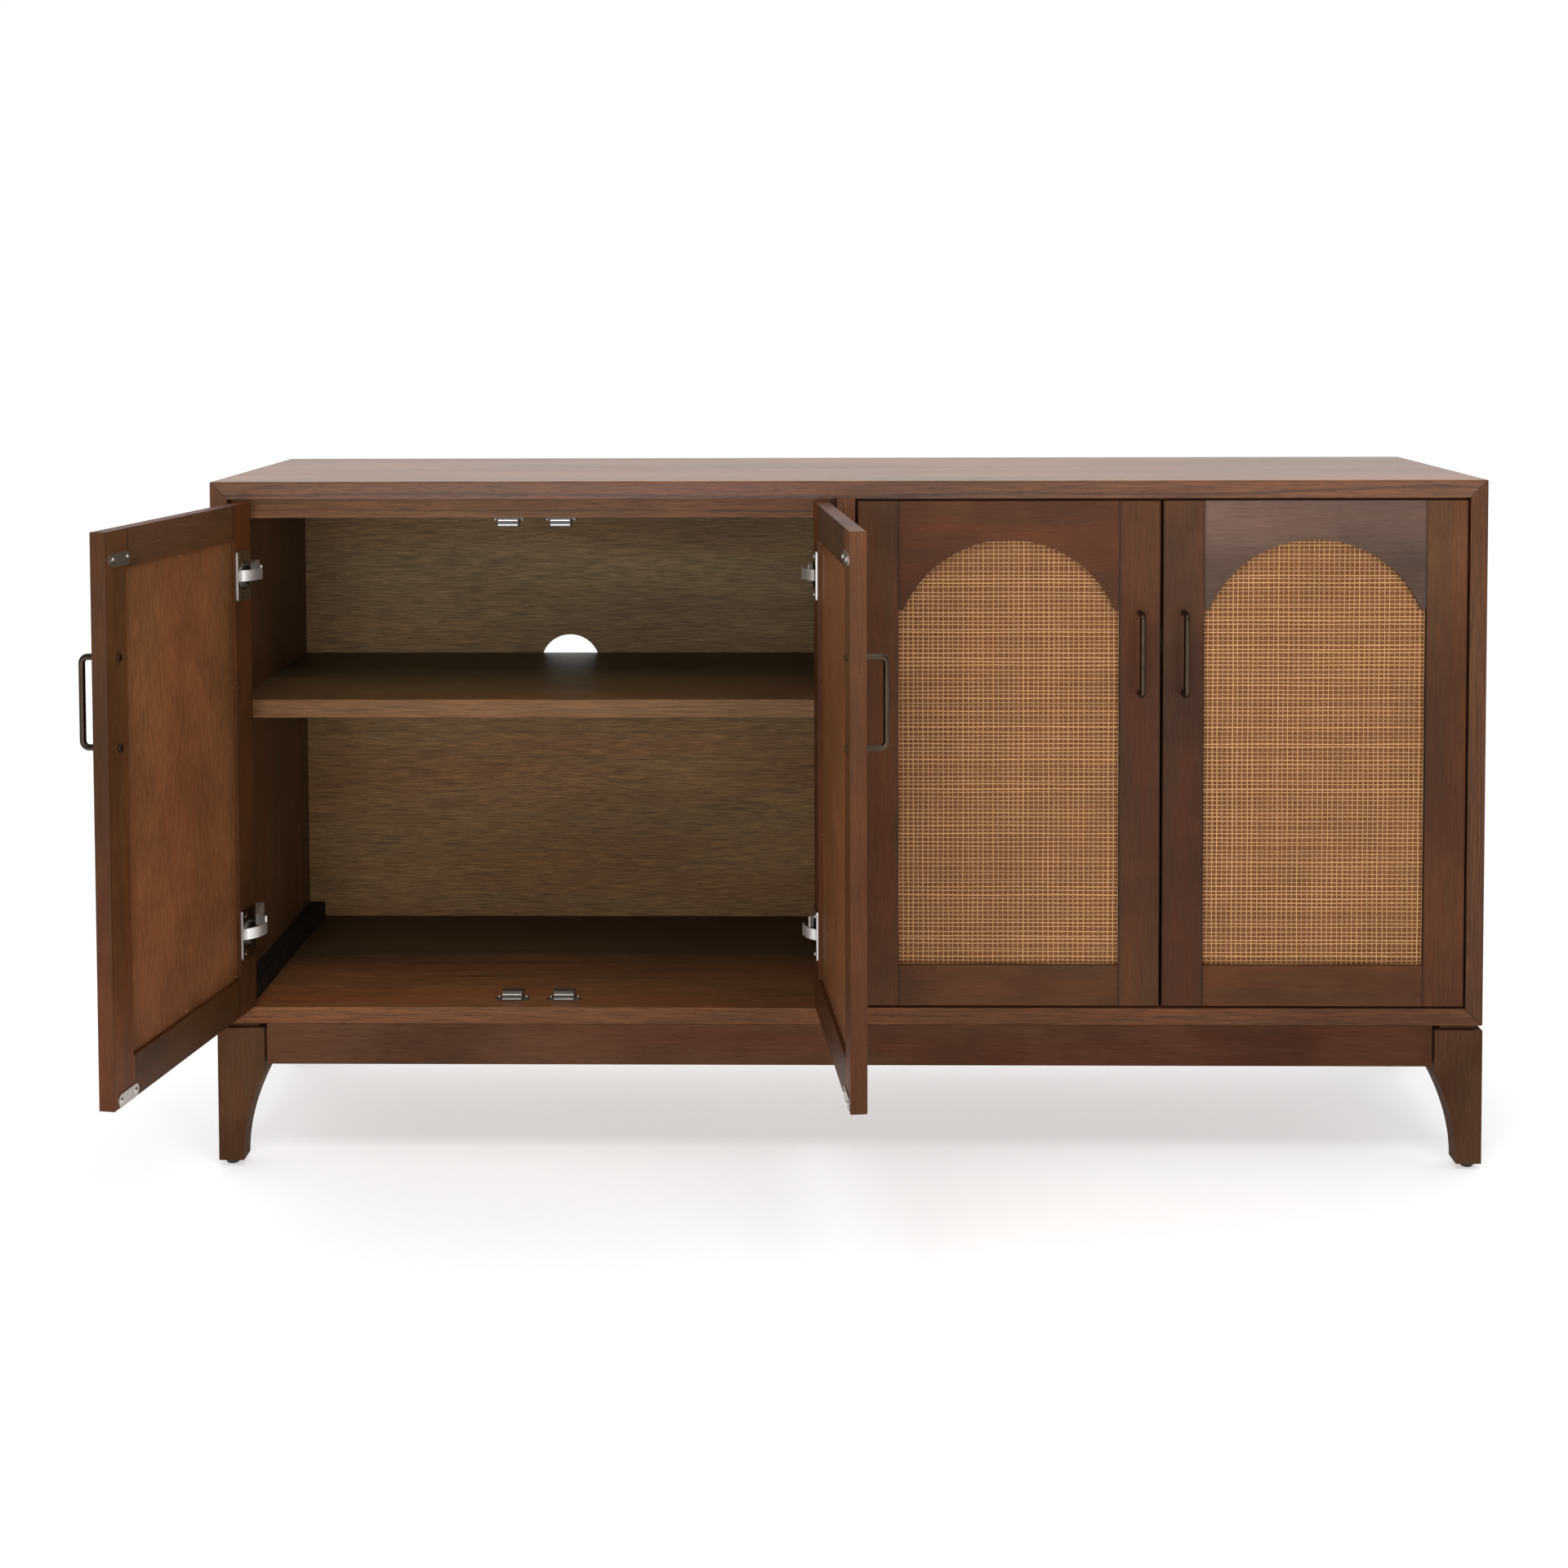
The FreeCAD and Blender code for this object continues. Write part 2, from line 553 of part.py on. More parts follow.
def door_pull():
    """A bent wire pull: a round bar with both ends turned back to the door, and its two bolts."""
    lower, upper = pull_bolt_axes()
    u = lower[0]
    bar_y = PULL_ROD_R - PULL_REACH
    bend = PULL_BEND_R
    low, high = lower[1], upper[1]
    slant = bend * (1 - math.sqrt(0.5))
    path = Part.Wire([
        Part.makeLine(Vector(u, 0, low), Vector(u, bar_y + bend, low)),
        Part.Arc(Vector(u, bar_y + bend, low), Vector(u, bar_y + slant, low + slant),
                 Vector(u, bar_y, low + bend)).toShape(),
        Part.makeLine(Vector(u, bar_y, low + bend), Vector(u, bar_y, high - bend)),
        Part.Arc(Vector(u, bar_y, high - bend), Vector(u, bar_y + slant, high - slant),
                 Vector(u, bar_y + bend, high)).toShape(),
        Part.makeLine(Vector(u, bar_y + bend, high), Vector(u, 0, high)),
    ])
    section = Part.Wire([Part.makeCircle(PULL_ROD_R, Vector(u, 0, low), Vector(0, 1, 0))])
    bar = path.makePipeShell([section], True, False)
    pieces = []
    for axis_u, z in (lower, upper):
        bar = bar.cut(rod(BOLT_R + HOLE_PLAY, (axis_u, -BOLT_REACH - 0.5, z), (0, 1, 0), BOLT_REACH + 1))
        shank = rod(BOLT_R, (axis_u, -BOLT_REACH, z), (0, 1, 0), DOOR_THICK + BOLT_REACH)
        head = rod(BOLT_HEAD_R, (axis_u, DOOR_THICK, z), (0, 1, 0), BOLT_HEAD_H)
        head = eased_box(head, 1.0, lambda point: point.y > DOOR_THICK + BOLT_HEAD_H - 0.1)
        pieces.append(fused(head, shank))
    return [bar] + pieces


def hinge_cup(height):
    """Cup and flange pressed from one sheet, with the curved strap that leaves the cup."""
    bottom_y = DOOR_THICK - CUP_DEPTH
    inner_r = CUP_R - CUP_WALL
    cup = rod(CUP_R, (CUP_FROM_EDGE, bottom_y, height), (0, 1, 0), CUP_DEPTH + FLANGE_THICK)
    left = CUP_FROM_EDGE - CUP_R + 1
    flange = box(
        left, left + FLANGE_WIDTH, DOOR_THICK, DOOR_THICK + FLANGE_THICK,
        height - FLANGE_HEIGHT / 2, height + FLANGE_HEIGHT / 2,
    )
    flange = eased_box(flange, 4.0, lambda point: abs(point.y - DOOR_THICK - FLANGE_THICK / 2) < 0.1)
    hollow = rod(inner_r, (CUP_FROM_EDGE, bottom_y + CUP_WALL, height), (0, 1, 0), CUP_DEPTH + 5)
    shell = fused(cup, flange).cut([hollow] + [screw_hole(*place) for place in door_screws()])
    strap = ring_sector(
        (POLE_U, POLE_Y), LINK_R, LINK_R + STRAP_THICK, *STRAP_ANGLES,
        height - ARM_HALF_HEIGHT, height + ARM_HALF_HEIGHT,
    )
    turn = math.radians(LINK_PIN_ANGLE)
    middle_r = LINK_R + STRAP_THICK / 2
    pin_at = (
        POLE_U + middle_r * math.cos(turn),
        POLE_Y + middle_r * math.sin(turn),
        height - LINK_PIN_REACH,
    )
    pin = rod(LINK_PIN_R, pin_at, (0, 0, 1), 2 * LINK_PIN_REACH)
    return fused(shell, strap, pin)


def strike_plate(height):
    """An oblong plate for the magnet, with two screw holes."""
    half, end_r = STRIKE_LENGTH / 2, STRIKE_HEIGHT / 2
    plate = box(STRIKE_U - half, STRIKE_U + half, DOOR_THICK, DOOR_THICK + STRIKE_THICK,
                height - end_r, height + end_r)
    plate = eased_box(plate, end_r - 0.1, lambda point: abs(point.y - DOOR_THICK - STRIKE_THICK / 2) < 0.1)
    return plate.cut([screw_hole(*place) for place in door_screws()])


def make_door(number, face_x, hand, opened):
    def place(shape):
        moved = shape.copy() if hand > 0 else mirrored_x(shape)
        moved.translate(Vector(face_x + hand * SIDE_GAP, 0, DOOR_BOTTOM))
        moved.rotate(Vector(face_x + hand * POLE_FROM_PANEL, POLE_Y, 0), Vector(0, 0, 1), -hand * opened)
        return moved

    prefix = "door_%d_" % number
    stiles, top_rail, bottom_rail = door_frame()
    sheet = (REBATE_STILE + PANEL_PLAY, DOOR_WIDTH - REBATE_STILE - PANEL_PLAY)
    tall = (REBATE_BOTTOM + PANEL_PLAY, DOOR_HEIGHT - REBATE_TOP - PANEL_PLAY)
    cane_back = CANE_SEAT + CANE_THICK
    pieces = {
        "stiles": stiles,
        "top_rail": [top_rail],
        "bottom_rail": [bottom_rail],
        "cane": [box(*sheet, CANE_SEAT, cane_back, *tall)],
        "back_panel": [box(*sheet, cane_back, cane_back + BOARD_THICK, *tall)],
        "pull": door_pull(),
        "hinge_cups": [hinge_cup(height) for height in HINGE_HEIGHTS],
        "strikes": [strike_plate(height) for height in STRIKE_HEIGHTS],
        "screws": [screw(*place_) for place_ in door_screws()],
    }
    for kind, shapes in pieces.items():
        add(prefix + kind, *[place(shape) for shape in shapes])


def make_hinge_arms():
    """The case side of each hinge: a plate screwed to the panel and a channel arm on it."""
    for number, face_x, hand, opened in DOORS:
        for height in HINGE_HEIGHTS:
            z = DOOR_BOTTOM + height
            low, high = z - ARM_HALF_HEIGHT, z + ARM_HALF_HEIGHT
            channel = box(PLATE_THICK, ARM_REACH, ARM_FRONT, ARM_REAR, low, high)
            inside = box(
                PLATE_THICK - 1, ARM_REACH - ARM_WALL, ARM_FRONT + 4, ARM_REAR + 1,
                low + ARM_WALL, high - ARM_WALL,
            )
            nose = ring_sector(
                (POLE_FROM_PANEL, POLE_Y), NOSE_R, NOSE_R + STRAP_THICK, *NOSE_ANGLES, low, high,
            )
            arm = fused(channel.cut(inside), nose)
            spine = box(
                0, PLATE_THICK, ARM_FRONT + 8, ARM_REAR - 4,
                z - SPINE_HALF_HEIGHT, z + SPINE_HALF_HEIGHT,
            )
            wings = box(
                0, PLATE_THICK, PLATE_SCREW_Y - WING_HALF_DEPTH, PLATE_SCREW_Y + WING_HALF_DEPTH,
                z - WING_HALF_HEIGHT, z + WING_HALF_HEIGHT,
            )
            wings = eased_box(wings, 4.0, lambda point: abs(point.x - PLATE_THICK / 2) < 0.1)
            key = box(
                PLATE_THICK, ARM_REACH - 5, ARM_FRONT + 10, ARM_REAR - 6,
                z - KEY_HALF_HEIGHT, z + KEY_HALF_HEIGHT,
            )
            plate = fused(spine, wings, key)
            for node, shape in (("hinge_arms", arm), ("hinge_plates", plate)):
                placed = shape.copy() if hand > 0 else mirrored_x(shape)
                placed.translate(Vector(face_x, 0, 0))
                if node == "hinge_plates":
                    placed = placed.cut([screw_hole(*place) for place in hinge_plate_screws()])
                add(node, placed)


make_case()
make_bay_fittings()
make_catches()
make_case_screws()
make_base()
make_hinge_arms()
for door in DOORS:
    make_door(*door)

os.makedirs("parts", exist_ok=True)
for name, shapes in nodes.items():
    solids = [solid for shape in shapes for solid in shape.Solids]
    whole = solids[0] if len(solids) == 1 else Part.makeCompound(solids)
    whole.translate(Vector(-ORIGIN_X, -ORIGIN_Y, 0))
    whole.exportStep("parts/" + name + ".step")
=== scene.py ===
import json
import math
import random

import bmesh
import bpy
import numpy as np
from mathutils import Matrix, Vector


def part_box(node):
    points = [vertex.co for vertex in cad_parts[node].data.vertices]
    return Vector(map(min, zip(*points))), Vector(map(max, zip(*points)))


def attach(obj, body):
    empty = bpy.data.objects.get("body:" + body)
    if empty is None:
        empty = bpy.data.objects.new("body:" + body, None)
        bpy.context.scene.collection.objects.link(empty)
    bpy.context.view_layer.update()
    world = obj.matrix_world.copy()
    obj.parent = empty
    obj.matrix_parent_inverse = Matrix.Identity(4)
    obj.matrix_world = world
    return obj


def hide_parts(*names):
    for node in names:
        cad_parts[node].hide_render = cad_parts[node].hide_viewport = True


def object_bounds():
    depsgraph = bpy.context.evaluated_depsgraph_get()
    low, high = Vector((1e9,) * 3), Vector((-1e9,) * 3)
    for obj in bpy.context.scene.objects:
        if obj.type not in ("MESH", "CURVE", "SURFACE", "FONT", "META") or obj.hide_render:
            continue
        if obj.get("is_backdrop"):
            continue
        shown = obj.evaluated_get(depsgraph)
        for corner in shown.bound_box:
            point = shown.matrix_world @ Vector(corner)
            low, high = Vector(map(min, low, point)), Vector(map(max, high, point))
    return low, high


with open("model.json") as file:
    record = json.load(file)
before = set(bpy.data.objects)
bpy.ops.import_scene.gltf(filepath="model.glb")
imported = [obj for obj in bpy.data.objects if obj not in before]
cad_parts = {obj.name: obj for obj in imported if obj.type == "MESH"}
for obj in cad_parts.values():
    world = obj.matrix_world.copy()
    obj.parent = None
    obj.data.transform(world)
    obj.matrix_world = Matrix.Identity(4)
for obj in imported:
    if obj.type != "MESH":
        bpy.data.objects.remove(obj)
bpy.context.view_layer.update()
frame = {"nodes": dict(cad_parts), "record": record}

# The media cabinet's looks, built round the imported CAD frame. Everything is in metres in the
# frame's own axes. "Closed coordinates" are the frame's axes with a door swung shut: each
# door's wood and cane are laid out in them, so the grain turns with the door.

MM = 0.001
X, Y, Z = 0, 1, 2
WHITE = (1.0, 1.0, 1.0, 1.0)

# Sizes that the part's source names too.
STILE = 49.0 * MM
FLANGE_THICK = 2.0 * MM

DOORS = (1, 2, 3, 4)
joints = {j["name"]: j for j in frame["record"]["behaviour"]["joints"]}


def closing(number):
    """The turn that takes a door from its rest pose to shut: (angle about +Z, pole)."""
    joint = joints[f"door_{number}_hinge"]
    return joint["axis"][2] * math.radians(joint["range_deg"][0]), Vector(joint["pos_m"])


def shut_matrix(number):
    """The same turn as a matrix. Its inverse takes closed coordinates to the rest pose."""
    angle, pole = closing(number)
    return Matrix.Translation(pole) @ Matrix.Rotation(angle, 4, "Z") @ Matrix.Translation(-pole)


def corners(node, number=None):
    """Lowest and highest corner of a node, in closed coordinates where it is on a door."""
    turn = shut_matrix(number) if number else Matrix.Identity(4)
    points = np.array([turn @ v.co for v in frame["nodes"][node].data.vertices])
    return Vector(points.min(0)), Vector(points.max(0))


case_low, case_high = corners("top_panel")
case_low.z = corners("bottom_panel")[0].z
CASE_FRONT = case_low.y


# --- materials ------------------------------------------------------------------------------

EDGE = 0.5 * MM  # the width over which one tone gives way to another at the edge of a face


class Shader:
    """A Principled material and the few node calls that the finishes are written with."""

    def __init__(self, name):
        self.mat = bpy.data.materials.new(name)
        self.mat.use_nodes = True
        self.tree = self.mat.node_tree
        self.tree.nodes.clear()
        out = self.tree.nodes.new("ShaderNodeOutputMaterial")
        self.bsdf = self.tree.nodes.new("ShaderNodeBsdfPrincipled")
        self.tree.links.new(self.bsdf.outputs[0], out.inputs[0])

    def put(self, value, socket):
        """Link a socket, or write a plain value into it."""
        if isinstance(value, bpy.types.NodeSocket):
            self.tree.links.new(value, socket)
        else:
            socket.default_value = value

    def set(self, **values):
        """Fill the shader's own sockets, with _ for each space in their names."""
        for name, value in values.items():
            self.put(value, self.bsdf.inputs[name.replace("_", " ")])

    def node(self, kind, *values, **props):
        """A node of a kind, with its inputs in order and its properties by name."""
        made = self.tree.nodes.new("ShaderNode" + kind)
        for name, value in props.items():
            setattr(made, name, value)
        for index, value in enumerate(values):
            if value is not None:
                self.put(value, made.inputs[index])
        return made

    def math(self, operation, a, b=0.0):
        return self.node("Math", a, b, operation=operation).outputs[0]

    def scale(self, vector, x, y, z):
        return self.node("VectorMath", vector, (x, y, z), operation="MULTIPLY").outputs[0]

    def noise(self, vector, detail=2.0, rough=0.5):
        made = self.node("TexNoise")
        self.put(vector, made.inputs["Vector"])
        made.inputs["Scale"].default_value = 1.0
        made.inputs["Detail"].default_value = detail
        made.inputs["Roughness"].default_value = rough
        return made.outputs["Fac"]

    def streaks(self, run, along, across, detail, rough):
        """Noise drawn out along the grain: its frequency along and across the grain."""
        return self.noise(self.scale(run, along, across, across), detail, rough)

    def span(self, value, low, high, to_low=0.0, to_high=1.0):
        """A smooth step of the value between low and high."""
        made = self.node("MapRange", value, low, high, to_low, to_high)
        made.interpolation_type = "SMOOTHSTEP"
        return made.outputs[0]

    def past(self, value, where):
        """1 beyond a place and 0 before it, with a narrow edge between."""
        return self.span(value, where, where + EDGE)

    def distance(self, value, where):
        return self.math("ABSOLUTE", self.math("SUBTRACT", value, where))

    def mix(self, factor, a, b, blend="MIX"):
        made = self.node("Mix", data_type="RGBA", blend_type=blend)
        self.put(factor, made.inputs[0])
        self.put(a, made.inputs[6])
        self.put(b, made.inputs[7])
        return made.outputs[2]

    def shade(self, colour, value):
        """The colour multiplied by a single value."""
        grey = self.node("CombineColor", value, value, value).outputs[0]
        return self.mix(1.0, colour, grey, "MULTIPLY")

    def tint(self, colour, amount, rgb, share=1.0):
        """The colour multiplied by a tint that comes in with amount."""
        return self.mix(share, colour, self.mix(amount, WHITE, rgb + (1.0,)), "MULTIPLY")

    def bump(self, height, distance, strength=1.0):
        made = self.node("Bump")
        made.inputs["Strength"].default_value = strength
        made.inputs["Distance"].default_value = distance
        self.put(height, made.inputs["Height"])
        self.put(made.outputs[0], self.bsdf.inputs["Normal"])

    def place(self, number=None):
        """Object coordinates, swung shut for a CAD node on a door."""
        at = self.node("TexCoord").outputs["Object"]
        if number is None:
            return at
        angle, pole = closing(number)
        turned = Matrix.Rotation(angle, 3, "Z") @ pole
        made = self.node("Mapping", at, tuple(pole - turned), (0.0, 0.0, angle))
        return made.outputs[0]


def srgb(red, green, blue):
    """A linear colour from its 8-bit display values."""
    def line(value):
        value /= 255
        return value / 12.92 if value <= 0.04045 else ((value + 0.055) / 1.055) ** 2.4

    return (line(red), line(green), line(blue), 1.0)


def times(colour, *factors):
    """A colour whose red, green and blue are multiplied, by one factor or by three."""
    if len(factors) == 1:
        factors *= 3
    return tuple(f * c for f, c in zip(factors, colour)) + (1.0,)


def scaled(finish, *factors):
    """A finish, (brown, red, dark), with each of its colours multiplied."""
    return [times(colour, *factors) for colour in finish]


def wood(name, grain, brown, red, dark, number=None, seed=0.0, figure=7.0, line=0.5, fibre=0.5,
         pore=0.35, thread=(16.0, 620.0), stain=(3.0, 9.0, 0.88, 1.1), rough=0.46, level=0.16,
         bump=0.25 * MM, split=None, tones=(1.0, 1.0), inside=None, seen=None, rear=None,
         inner_face=None, fades=(), lines=()):
    """Stained timber, laid out in closed coordinates where it is on a door.

    grain: the axis it runs along. seed: which part of the board it is cut from.
    figure: how many growth lines it crosses. line, fibre, pore: how strong its growth lines,
      threads and pores are. thread: the threads' frequency along and across the grain.
    stain: how the tone drifts, as frequency along and across, lowest and highest tone.
    split: the (axis, place) that parts two pieces in one node, with tones for each.
    inside: painted light and shade in the bay, as the tint just behind the case's front and
      the tint at its back. seen: the (axis, place, sign) of the face that inside is kept to.
      rear: the (colour, share) that calms the figure everywhere else.
    inner_face: the (place, tint) of a door's inner face.
    fades: (axis, start, end, tint) each, growing from start to end. Some are painted sheen or
    painted light.
    lines: (normal, place, half width, depth) each, of dark glaze, or of painted shadow along the
    edges of a door's board.
    """
    s = Shader(name)
    at = s.place(number)
    parts = s.node("SeparateXYZ", at).outputs
    along, across, through = [parts[(grain + step) % 3] for step in range(3)]

    # Each seed, and each side of a split, takes another part of the board. The grain sways.
    shift = seed
    if split is not None:
        side = s.math("GREATER_THAN", parts[split[0]], split[1])
        shift = s.math("ADD", s.math("MULTIPLY", side, 2.37), seed)
    along = s.math("ADD", along, shift)
    across = s.math("ADD", across, s.math("MULTIPLY", shift, 1.7))
    through = s.math("ADD", through, s.math("MULTIPLY", shift, 0.6))
    run = s.node("CombineXYZ", along, across, through).outputs[0]
    sway = s.streaks(run, 1.6, 4.0, 1.0, 0.5)
    across = s.math("ADD", across, s.math("MULTIPLY", sway, 22.0 * MM))
    run = s.node("CombineXYZ", along, across, through).outputs[0]

    # The figure: growth lines and the bands between them, threads, pores, and two slow drifts.
    rings = s.noise(s.scale(run, 0.1, 11.0, 9.0), 1.0, 0.35)
    phase = s.math("PINGPONG", s.math("MULTIPLY", rings, figure * 2.0), 1.0)
    growth = s.span(phase, 0.0, 0.09, 1.0, 0.0)
    band = s.span(phase, 0.05, 0.95)
    threads = s.streaks(run, *thread, 4.0, 0.7)
    pores = s.span(s.streaks(run, 55.0, 880.0, 2.0, 0.5), 0.58, 0.7)
    blotch = s.span(s.streaks(run, 1.5, 14.0, 3.0, 0.6), 0.32, 0.68)
    cloud = s.span(s.streaks(run, *stain[:2], 3.0, 0.55), 0.3, 0.72)

    colour = s.mix(blotch, brown, red)
    colour = s.mix(s.math("MULTIPLY", band, 0.3 * line), colour, dark)
    colour = s.mix(s.math("MULTIPLY", growth, line), colour, dark)
    colour = s.shade(colour, s.span(threads, 0.25, 0.75, 1.0 - fibre, 1.0 + fibre * 0.7))
    colour = s.mix(s.math("MULTIPLY", pores, pore), colour, dark)
    colour = s.shade(colour, s.span(cloud, 0.0, 1.0, *stain[2:]))
    if split is not None:
        colour = s.shade(colour, s.span(side, 0.0, 1.0, *tones))

    # What differs from place to place: one face, the painted light and shade with the depth in
    # the bay, the ends (some with painted sheen or painted light), the seams (some with painted
    # shadow).
    shown = 1.0
    if seen is not None:
        axis, where, sign = seen
        shown = s.past(s.math("MULTIPLY", s.math("SUBTRACT", parts[axis], where), sign), 0.0)
    if rear is not None:
        hidden = s.math("MULTIPLY", s.math("SUBTRACT", 1.0, shown), rear[1])
        colour = s.mix(hidden, colour, rear[0])
    # Painted light and shade: the bay's faces are tinted by their depth behind the case's front.
    if inside is not None:
        near, far = inside
        depth_in = s.math("SUBTRACT", parts[Y], CASE_FRONT)
        tint = s.mix(s.span(depth_in, 0.03, 0.26), near + (1.0,), far + (1.0,))
        tint = s.mix(s.span(depth_in, 1.0 * MM, 3.0 * MM), WHITE, tint)
        colour = s.mix(shown, colour, tint, "MULTIPLY")
    if inner_face is not None:
        colour = s.tint(colour, s.past(parts[Y], inner_face[0]), inner_face[1])
    # Fades along an axis. Those on the top panel, the back panel and the doors' stiles and top
    # rails are painted sheen or painted light.
    for axis, start, end, tint in fades:
        kept_to = shown if rear is not None else 1.0
        colour = s.tint(colour, s.span(parts[axis], start, end), tint, kept_to)
    # Dark glaze lines. Round a door's board, the narrow ones are painted shadow.
    for normal, where, width, depth in lines:
        reach = s.node("VectorMath", at, normal, operation="DOT_PRODUCT").outputs["Value"]
        line_at = s.span(s.distance(reach, where), 0.0, width, depth, 0.0)
        colour = s.mix(line_at, colour, times(dark, 0.35))

    s.set(Base_Color=colour, Roughness=s.span(threads, 0.2, 0.8, rough - 0.06, rough + 0.08))
    s.set(Specular_IOR_Level=level)
    s.bump(s.math("SUBTRACT", threads, s.math("MULTIPLY", pores, 0.6)), bump, 0.5)
    return s.mat


SATIN = (0.92, 0.9, 0.87, 1.0)


def metal(name, colour, rough, spread=0.03, stain=0.12, number=None, satin_from=None, painted_highlight_edge=None):
    """Polished or plated steel, stained dark here and there. On a door, satin_from is the
    depth where a satin part begins. The last argument is the place of an edge given a painted
    highlight, a bright satin strip."""
    s = Shader(name)
    at = s.place(number)
    cloud = s.noise(s.scale(at, 60.0, 60.0, 60.0), 3.0, 0.5)
    brush = s.noise(s.scale(at, 900.0, 900.0, 120.0), 3.0, 0.6)
    base = s.mix(s.span(cloud, 0.4, 0.8, 0.0, stain), colour, (0.02, 0.015, 0.01, 1.0))
    gloss = s.span(brush, 0.3, 0.7, rough - spread, rough + spread)
    if satin_from is not None:
        beyond = s.past(s.node("SeparateXYZ", at).outputs[Y], satin_from)
        base = s.mix(beyond, base, SATIN)
        gloss = s.math("ADD", gloss, s.math("MULTIPLY", beyond, 0.34))
    # A painted highlight: a bright satin strip along one edge, standing for the glint on the
    # flange's rim.
    if painted_highlight_edge is not None:
        away = s.distance(s.node("SeparateXYZ", at).outputs[X], painted_highlight_edge)
        lit = s.span(away, 0.9 * MM, 1.3 * MM, 1.0, 0.0)
        base = s.mix(lit, base, SATIN)
        gloss = s.math("ADD", gloss, s.math("MULTIPLY", lit, 0.3))
    s.set(Base_Color=base, Metallic=1.0, Roughness=gloss)
    s.bump(brush, 0.01 * MM, 0.2)
    return s.mat


def plastic(name, colour, rough):
    """Moulded plastic with a fine, uneven grain."""
    s = Shader(name)
    grain = s.noise(s.scale(s.place(), 700.0, 700.0, 700.0), 3.0, 0.6)
    s.set(Base_Color=s.mix(s.span(grain, 0.35, 0.8), colour, times(colour, 1.6)))
    s.set(Roughness=s.span(grain, 0.3, 0.7, rough - 0.05, rough + 0.1))
    s.bump(grain, 0.04 * MM, 0.4)
    return s.mat


def dress(node, material):
    """Give a CAD node its material."""
    ob = frame["nodes"][node]
    ob.data.materials.clear()
    ob.data.materials.append(material)


# --- the case's finishes --------------------------------------------------------------------

# Finishes of the timber members: (brown, red, dark).
CASE = (srgb(98, 64, 39), srgb(110, 64, 38), srgb(40, 23, 12))
DOOR = (srgb(80, 50, 26), srgb(98, 52, 24), srgb(34, 18, 7))
RAIL = (srgb(110, 77, 51), srgb(120, 76, 50), srgb(52, 33, 20))
# A greyer copy of the rail colours, used as a painted sheen on the last door's top rail.
PAINTED_SHEEN_RAIL = (srgb(112, 86, 68), srgb(118, 84, 64), srgb(62, 44, 32))
BASE = (srgb(80, 53, 34), srgb(80, 46, 28), srgb(36, 22, 12))
SHELF = (srgb(120, 80, 50), srgb(128, 78, 46), srgb(58, 34, 19))
BOARD = (srgb(122, 78, 45), srgb(126, 76, 44), srgb(80, 44, 24))
PLY = (srgb(134, 103, 66), srgb(130, 92, 56), srgb(60, 42, 25))
CLEAT = (srgb(40, 34, 30), srgb(36, 30, 26), srgb(14, 12, 11))

# How door and base members are stained, and the duller coat on the base.
MEMBER = dict(line=0.08, fibre=0.2, pore=0.34, stain=(7.0, 9.0, 0.8, 1.16))
BASE_COAT = dict(MEMBER, rough=0.6, level=0.04)

# Painted light and shade inside the bays, as tints: (just behind the front, at the back).
FLOOR_PAINTED_LIGHT_AND_SHADE = ((1.56, 1.62, 1.76), (0.4, 0.63, 0.81))
SIDE_PAINTED_SHADE = ((0.85, 1.15, 1.15), (0.75, 1.1, 1.1))
DIVIDER_PAINTED_SHADE = ((0.85, 1.1, 1.1), (0.75, 1.1, 1.1))
SHELF_PAINTED_SHADE = ((0.82, 1.0, 1.05), (0.5, 0.9, 0.95))

INNER = 20.0 * MM       # from the case's outside to just short of a panel's inner face
BACK_SKIN = 1.0 * MM    # the front skin of the back panel
BAYS = (X, -0.6, 0.6)   # a fade from the left end of the case to the right end
SHELF_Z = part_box("left_shelf")[1][2]
BACK_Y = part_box("back_panel")[0][1]
MID_X = (case_low.x + case_high.x) / 2

HALF_ROOT = math.sqrt(0.5)
mitre = {}
for side, x in (("left", case_low.x), ("right", case_high.x)):
    for level, z in (("bottom", case_low.z), ("top", case_high.z)):
        normal = (HALF_ROOT if side == "left" else -HALF_ROOT, 0.0,
                  -HALF_ROOT if level == "bottom" else HALF_ROOT)
        mitre[side, level] = (normal, normal[0] * x + normal[2] * z, 1.1 * MM, 0.9)


def mitres(end):
    """The two mitre lines at one panel's ends."""
    return [line for corner, line in mitre.items() if end in corner]


# The top panel's fade is a painted sheen: its top face is made far paler than its edges.
dress("top_panel", wood(
    "top_wood", X, *CASE, seed=0.3, figure=6.0, pore=0.55, rough=0.34, level=0.3,
    lines=mitres("top"),
    fades=((Z, case_high.z - 1.2 * MM, case_high.z - 0.2 * MM, (2.45, 3.1, 3.8)),)))
dress("bottom_panel", wood(
    "bottom_wood", X, *scaled(CASE, 1.25, 1.2, 1.05), seed=5.1, figure=8.0, pore=0.55,
    lines=mitres("bottom"), inside=FLOOR_PAINTED_LIGHT_AND_SHADE, seen=(Z, case_low.z + INNER, 1.0),
    fades=((*BAYS, (0.68, 0.71, 0.81)),)))
dress("left_side", wood(
    "left_side_wood", Z, *CASE, seed=2.4, figure=5.0,
    lines=mitres("left"), inside=SIDE_PAINTED_SHADE, seen=(X, case_low.x + INNER, 1.0)))
dress("right_side", wood(
    "right_side_wood", Z, *scaled(CASE, 0.8), seed=3.9, figure=5.0,
    lines=mitres("right"), inside=SIDE_PAINTED_SHADE, seen=(X, case_high.x - INNER, -1.0)))
dress("centre_divider", wood(
    "divider_wood", Z, *CASE, seed=7.7, figure=5.0, inside=DIVIDER_PAINTED_SHADE))
dress("stop_rails", wood("rail_wood", X, *RAIL, seed=9.2, split=(X, MID_X), figure=6.0))
